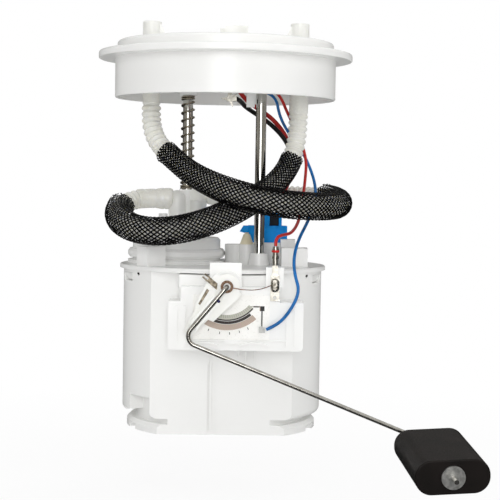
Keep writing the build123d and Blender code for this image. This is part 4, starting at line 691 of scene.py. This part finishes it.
# the sleeves follow their hoses from the middle of one run of the route to the middle of
# another; lengths in millimetres
sleeves = {
    "returnSleeve": {"node": "return_sleeve", "hose": "returnHose", "runs": (3, 12),
                     "Seed": 3, "Loop Radius": 6.9},
    "supplySleeve": {"node": "supply_sleeve", "hose": "supplyHose", "runs": (2, 11),
                     "Seed": 8, "Loop Radius": 7.0},
}
braidLook = {"Strands": 20, "Neck Radius": 5.75, "Widen Start": 8, "Widen End": 60,
             "Turn Length": 48, "Weave Height": 0.3, "Strand Width": 0.83,
             "Strand Thickness": 0.24, "Fray": 3.0, "Flare": 2.2, "Step": 0.95}


def makeSleeves(paths):
    for name, look in sleeves.items():
        points = paths[look["hose"]]
        route = [Vector(p) * mm for p in routes[look["hose"]]]
        ends = [(route[run] + route[run + 1]) / 2 for run in look["runs"]]
        start, end = [min(range(len(points)), key=lambda i: (points[i] - place).length)
                      for place in ends]
        line = newCurve(name + "Line", "POLY", points[start:end + 1])
        values = {title: amount * mm for title, amount in dict(look, **braidLook).items()
                  if title[0].isupper()}
        values.update({"Strands": braidLook["Strands"], "Seed": look["Seed"],
                       "Material": materials["blackMonofilament"]})
        piece = grown(name, line, braid, values)
        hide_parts(look["node"])
        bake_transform(piece)
        print("sleeve", name, len(piece.data.polygons), "faces")


makeSleeves(makeCords())

# keep is the share of its length that the spring has when the pot is fully up
liftSpring = {"centre": (-20.7 * mm, 40.0 * mm), "top": -16.7 * mm, "anchor": -16.05 * mm,
              "keep": 0.523,
              "shape": {"Coil Radius": 3.37 * mm, "Wire Radius": 0.55 * mm,
                        "Length": 51.2 * mm, "Turns": 14.5, "Closed Turns": 1.75,
                        "Steps": 40, "Sides": 10}}


def makeSpring():
    seed = newObject("springSeed", bpy.data.meshes.new("springSeed"))
    centre = liftSpring["centre"]
    piece = grown("coiledLiftSpring", seed, coiledSpring, dict(
        liftSpring["shape"], Material=materials["temperedSteel"]),
        (centre[0], centre[1], liftSpring["top"]))
    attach(piece, "flange")
    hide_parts("lift_spring")
    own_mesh(piece)
    print("spring", len(piece.data.polygons), "faces")


makeSpring()

softEnd = {"body": "reservoir", "slot": "hose_nylon", "finish": "extrudedPolyamide", "axis": 0}
# dark discs sunk in the pot's wall: painted shade of its two vent holes
ventHoleShade = {"body": "reservoir", "slot": "rubber_black", "finish": "nitrileRubber", "axis": 1,
            "profile": [(-29.6, 0.5), (-29.5, 0.75), (-28.4, 0.75), (-28.3, 0.5)]}

# shapes turned about a line along x, y or z (0, 1, 2): (distance along it, radius), in
# millimetres; the hoses' soft ends swell over the elbows' spigots
turned = {
    "supplyHoseEnd": dict(softEnd, centre=(0, 8.0, -73.5), profile=[
        (-47.2, 4.1), (-46.6, 4.75), (-44.4, 4.95), (-43.2, 4.9), (-42.6, 4.55), (-42.0, 4.9),
        (-39.6, 5.1), (-37.4, 5.15), (-36.7, 4.8), (-36.0, 5.2), (-34.0, 5.55), (-32.6, 5.7),
        (-31.9, 5.4), (-31.2, 5.7), (-29.6, 5.65), (-28.4, 5.5), (-27.6, 5.1), (-27.3, 4.4)]),
    "returnHoseEnd": dict(softEnd, centre=(0, 24.5, -71.0), profile=[
        (-9.5, 4.4), (-9.2, 5.1), (-8.4, 5.5), (-6.8, 5.7), (-5.4, 5.55), (-3.4, 5.2),
        (-2.7, 4.8), (-2.0, 5.15), (0.2, 5.1), (2.6, 4.9), (3.2, 4.55), (3.8, 4.9),
        (5.0, 4.95), (6.8, 4.75), (7.4, 4.1)]),
    "crimpSeal": {"body": "reservoir", "slot": "insulation_red", "finish": "redInsulation",
                  "axis": 2, "centre": (25.9, -57.8, 0), "profile": [
        (-98.6, 1.2), (-98.5, 1.8), (-98.2, 1.92), (-97.7, 1.92), (-97.4, 1.8),
        (-97.3, 1.2)]},
    "paintMark": {"body": "float_arm", "slot": "insulation_blue", "finish": "bluePaint",
                  "axis": 1, "centre": (-1.7, 0, -122.4), "profile": [
        (-66.95, 0.2), (-66.92, 0.45), (-66.8, 0.7), (-66.55, 0.8)]},
    "ventHoleShadeRight": dict(ventHoleShade, centre=(43.0, 0, -111.6)),
    "ventHoleShadeLeft": dict(ventHoleShade, centre=(-43.0, 0, -111.6)),
}


def makeTurned(sides=48):
    for name, look in turned.items():
        profile, axis, centre = look["profile"], look["axis"], look["centre"]
        vertices = []
        for along, radius in profile:
            for n in range(sides):
                angle = 2 * math.pi * n / sides
                place = [0, 0, 0]
                place[axis] = along
                place[axis - 2] = radius * math.cos(angle)
                place[axis - 1] = radius * math.sin(angle)
                vertices.append([(a + b) * mm for a, b in zip(place, centre)])
        faces = [(row * sides + n, row * sides + (n + 1) % sides,
                  (row + 1) * sides + (n + 1) % sides, (row + 1) * sides + n)
                 for row in range(len(profile) - 1) for n in range(sides)]
        faces += [tuple(range(sides))[::-1],
                  tuple(range(len(vertices) - sides, len(vertices)))]
        mesh = bpy.data.meshes.new(name)
        mesh.from_pydata(vertices, [], faces)
        mesh.polygons.foreach_set("use_smooth", [len(face) == 4 for face in faces])
        mesh.materials.append(materials[look["finish"]])
        piece = newObject(name, mesh)
        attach(piece, look["body"])


# small moulded blocks with rounded edges: low and high corners in millimetres
whiteBlock = {"slot": "acetal_white", "finish": "mouldedAcetal"}
blocks = {
    "senderShoulder": {"low": (-22.0, -51.4, -117.4), "high": (23.4, -37.0, -110.4),
                       "round": 0.8, **whiteBlock},
    # a thin near-black plate in the plug's slot: painted shade of the slot
    "plugSlotShade": {"slot": "rubber_black", "finish": "blackNylon", "round": 0.25,
                  "low": (24.95, 10.9, -87.3), "high": (29.85, 12.0, -81.0)},
    "mouldRib": {"low": (-6.0, -38.35, -190.5), "high": (-4.8, -37.5, -153.0),
                 "round": 0.2, **whiteBlock},
    "senderLedge": {"low": (-14.0, -57.9, -142.9), "high": (32.0, -57.0, -142.1),
                    "round": 0.15, **whiteBlock},
}


def makeBlocks(edgeSteps=3):
    for name, look in blocks.items():
        low, high = [[c * mm for c in look[corner]] for corner in ("low", "high")]
        corners = [(x, y, z) for x in (low[0], high[0]) for y in (low[1], high[1])
                   for z in (low[2], high[2])]
        mesh = bpy.data.meshes.new(name)
        mesh.from_pydata(corners, [], [(0, 1, 3, 2), (4, 6, 7, 5), (0, 4, 5, 1), (2, 3, 7, 6),
                                       (0, 2, 6, 4), (1, 5, 7, 3)])
        piece = newObject(name, mesh)
        edge = piece.modifiers.new("edge", "BEVEL")
        edge.width = look["round"] * mm
        edge.segments = edgeSteps
        rounded = meshOf(piece)
        piece.modifiers.clear()
        piece.data = rounded
        rounded.materials.append(materials[look["finish"]])
        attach(piece, "reservoir")


makeTurned()
makeBlocks()
print("hose ends, seal, mark and blocks")

# the image is a square with pixels to a side; focal length and axisPixel are in pixels, the
# roll is in degrees and the sensor in millimetres
view = {"distance": 760 * mm, "height": -65 * mm, "focal": 1426, "axisPixel": (223, 184),
        "roll": 0.9, "pixels": 500, "sensor": 36, "clip": (0.01, 20)}


def makeCamera():
    data = bpy.data.cameras.new("studioCamera")
    data.sensor_width = view["sensor"]
    data.lens = view["focal"] / view["pixels"] * view["sensor"]
    data.clip_start, data.clip_end = view["clip"]
    camera = newObject("studioCamera", data)
    yaw, pitch = [math.atan((view["pixels"] / 2 - pixel) / view["focal"])
                  for pixel in view["axisPixel"]]
    turn = Matrix.Rotation(-yaw, 4, "Z") @ Matrix.Rotation(math.pi / 2 - pitch, 4, "X")
    turn = turn @ Matrix.Rotation(math.radians(view["roll"]), 4, "Z")
    camera.matrix_world = Matrix.Translation((0, -view["distance"], view["height"])) @ turn
    bpy.context.scene.camera = camera


studio = {
    "lamps": {  # place, width and height in metres, watts
        "frontSoft": ((-0.04, -0.95, -0.02), (0.35, 0.8), 3.6),
        "keyLeft": ((-0.80, -0.55, 0.30), (0.4, 0.6), 0.9),
        "fillRight": ((0.80, -0.55, 0.15), (0.5, 0.6), 1.8),
        "topSoft": ((0.0, -0.25, 1.00), (0.8, 0.8), 3.3),
        "backRight": ((0.6, 0.8, 0.4), (0.6, 0.6), 3.6),
        "backLeft": ((-0.7, 0.7, 0.1), (0.6, 0.6), 2.8),
    },
    "mirroredLamps": ("frontSoft",),  # the others don't show in gloss
    "aim": (0, 0, -0.10),
    "worldLevel": 0.43,  # even light from all round
    # what gloss mirrors round the object: white in front, grey at the sides, dark behind;
    # the first number is the cosine of the angle from the front, from -1 to 1
    "flags": [(-1.0, "#3c3935"), (-0.60, "#504c47"), (0.0, "#7d7973"), (0.40, "#a8a49d"),
              (0.70, "#7a766f"), (0.92, "#97948d"), (0.985, "#ffffff")],
    # the mirrored sky turns pale between these heights, from 0 level to 1 overhead
    "glossSky": (0.25, 0.65, "#e6e6e4"),
    "glossFloor": 0.07,  # how bright gloss mirrors the floor
    "floorReach": 6.0,
    "floorColour": "#e8e8e8",
    "floorDrop": 0.020,  # room under the object for the float when it rolls on edge
    "floorShadow": 0.12,  # how much of the painted floor's shading shows near the origin
    "floorFade": (0.18, 0.42),  # metres from the origin between which it turns plain white
}


def makeLamps():
    for name, (place, (width, height), watts) in studio["lamps"].items():
        data = bpy.data.lights.new(name, "AREA")
        data.shape = "RECTANGLE"
        data.size, data.size_y = width, height
        data.energy = watts
        lamp = newObject(name, data)
        lamp.location = place
        lamp.visible_glossy = name in studio["mirroredLamps"]
        way = Vector(studio["aim"]) - lamp.location
        lamp.rotation_euler = way.to_track_quat("-Z", "Y").to_euler()


# one where the ray comes from the camera or through a clear surface
def seenDirectly(tree):
    ray = addNode(tree, "ShaderNodeLightPath").outputs
    seen = addNode(tree, "ShaderNodeMath", {
        0: ray["Is Camera Ray"], 1: ray["Is Transmission Ray"]}, operation="MAXIMUM")
    return seen.outputs[0], ray["Is Glossy Ray"]


def makeWorld():
    world = bpy.data.worlds.new("studioWorld")
    bpy.context.scene.world = world
    world.use_nodes = True
    tree = world.node_tree
    tree.nodes.clear()
    seen, glossy = seenDirectly(tree)
    way = addNode(tree, "ShaderNodeTexCoord").outputs["Generated"]
    flat = addNode(tree, "ShaderNodeVectorMath", {0: way, 1: (1, 1, 0)}, operation="MULTIPLY")
    unit = addNode(tree, "ShaderNodeVectorMath", {0: flat.outputs["Vector"]},
                   operation="NORMALIZE")
    facing = addNode(tree, "ShaderNodeVectorMath", {0: unit.outputs["Vector"], 1: (0, -1, 0)},
                     operation="DOT_PRODUCT")
    spread = addNode(tree, "ShaderNodeMath", {0: facing.outputs["Value"], 1: 0.5, 2: 0.5},
                     operation="MULTIPLY_ADD")
    flags = addNode(tree, "ShaderNodeValToRGB", {"Fac": spread.outputs[0]})
    setStops(flags, [((cosine + 1) / 2, colour) for cosine, colour in studio["flags"]])
    low, high, pale = studio["glossSky"]
    height = addNode(tree, "ShaderNodeSeparateXYZ", {0: way})
    lift = addNode(tree, "ShaderNodeMapRange", {
        "Value": height.outputs["Z"], "From Min": low, "From Max": high})
    sky = addNode(tree, "ShaderNodeMix", {
        0: lift.outputs["Result"], 6: flags.outputs["Color"], 7: linear(pale)},
        data_type="RGBA")
    base = addNode(tree, "ShaderNodeBackground", {"Color": linear("#ffffff"),
                                                  "Strength": studio["worldLevel"]})
    mirrored = addNode(tree, "ShaderNodeBackground", {"Color": sky.outputs[2]})
    white = addNode(tree, "ShaderNodeBackground", {"Color": linear("#ffffff")})
    glossed = addNode(tree, "ShaderNodeMixShader", {
        0: glossy, 1: base.outputs["Background"],
        2: mirrored.outputs["Background"]})
    shown = addNode(tree, "ShaderNodeMixShader", {
        0: seen, 1: glossed.outputs["Shader"], 2: white.outputs["Background"]})
    addNode(tree, "ShaderNodeOutputWorld", {"Surface": shown.outputs["Shader"]})


def makeFloor(level):
    side = studio["floorReach"]
    mesh = bpy.data.meshes.new("studioFloor")
    mesh.from_pydata([(-side, -side, level), (side, -side, level), (side, side, level),
                      (-side, side, level)], [], [(0, 1, 2, 3)])
    floor = newObject("studioFloor", mesh)
    material = bpy.data.materials.new("whiteSweep")  # matt painted board, white to the eye
    material.use_nodes = True
    tree = material.node_tree
    tree.nodes.clear()
    place = addNode(tree, "ShaderNodeTexCoord").outputs["Object"]
    away = addNode(tree, "ShaderNodeVectorMath", {0: place}, operation="LENGTH")
    near, far = studio["floorFade"]
    fade = addNode(tree, "ShaderNodeMapRange", {
        "Value": away.outputs["Value"], "From Min": near, "From Max": far,
        "To Min": 1 - studio["floorShadow"], "To Max": 1.0})
    seen, glossy = seenDirectly(tree)
    glow = addNode(tree, "ShaderNodeMath", {0: seen, 1: fade.outputs["Result"]},
                   operation="MULTIPLY")
    painted = addNode(tree, "ShaderNodeBsdfDiffuse", {
        "Color": linear(studio["floorColour"])})
    bright = addNode(tree, "ShaderNodeEmission", {"Strength": 1.0})
    mirrored = addNode(tree, "ShaderNodeEmission", {"Strength": studio["glossFloor"]})
    glossed = addNode(tree, "ShaderNodeMixShader", {
        0: glossy, 1: painted.outputs["BSDF"], 2: mirrored.outputs["Emission"]})
    mix = addNode(tree, "ShaderNodeMixShader", {
        0: glow.outputs[0], 1: glossed.outputs["Shader"], 2: bright.outputs["Emission"]})
    addNode(tree, "ShaderNodeOutputMaterial", {"Surface": mix.outputs["Shader"]})
    mesh.materials.append(material)


makeCamera()
makeLamps()
makeWorld()
makeFloor(cadBox[0][2] - studio["floorDrop"])
bpy.context.scene.view_settings.view_transform = "Standard"
print("camera, lamps and floor")
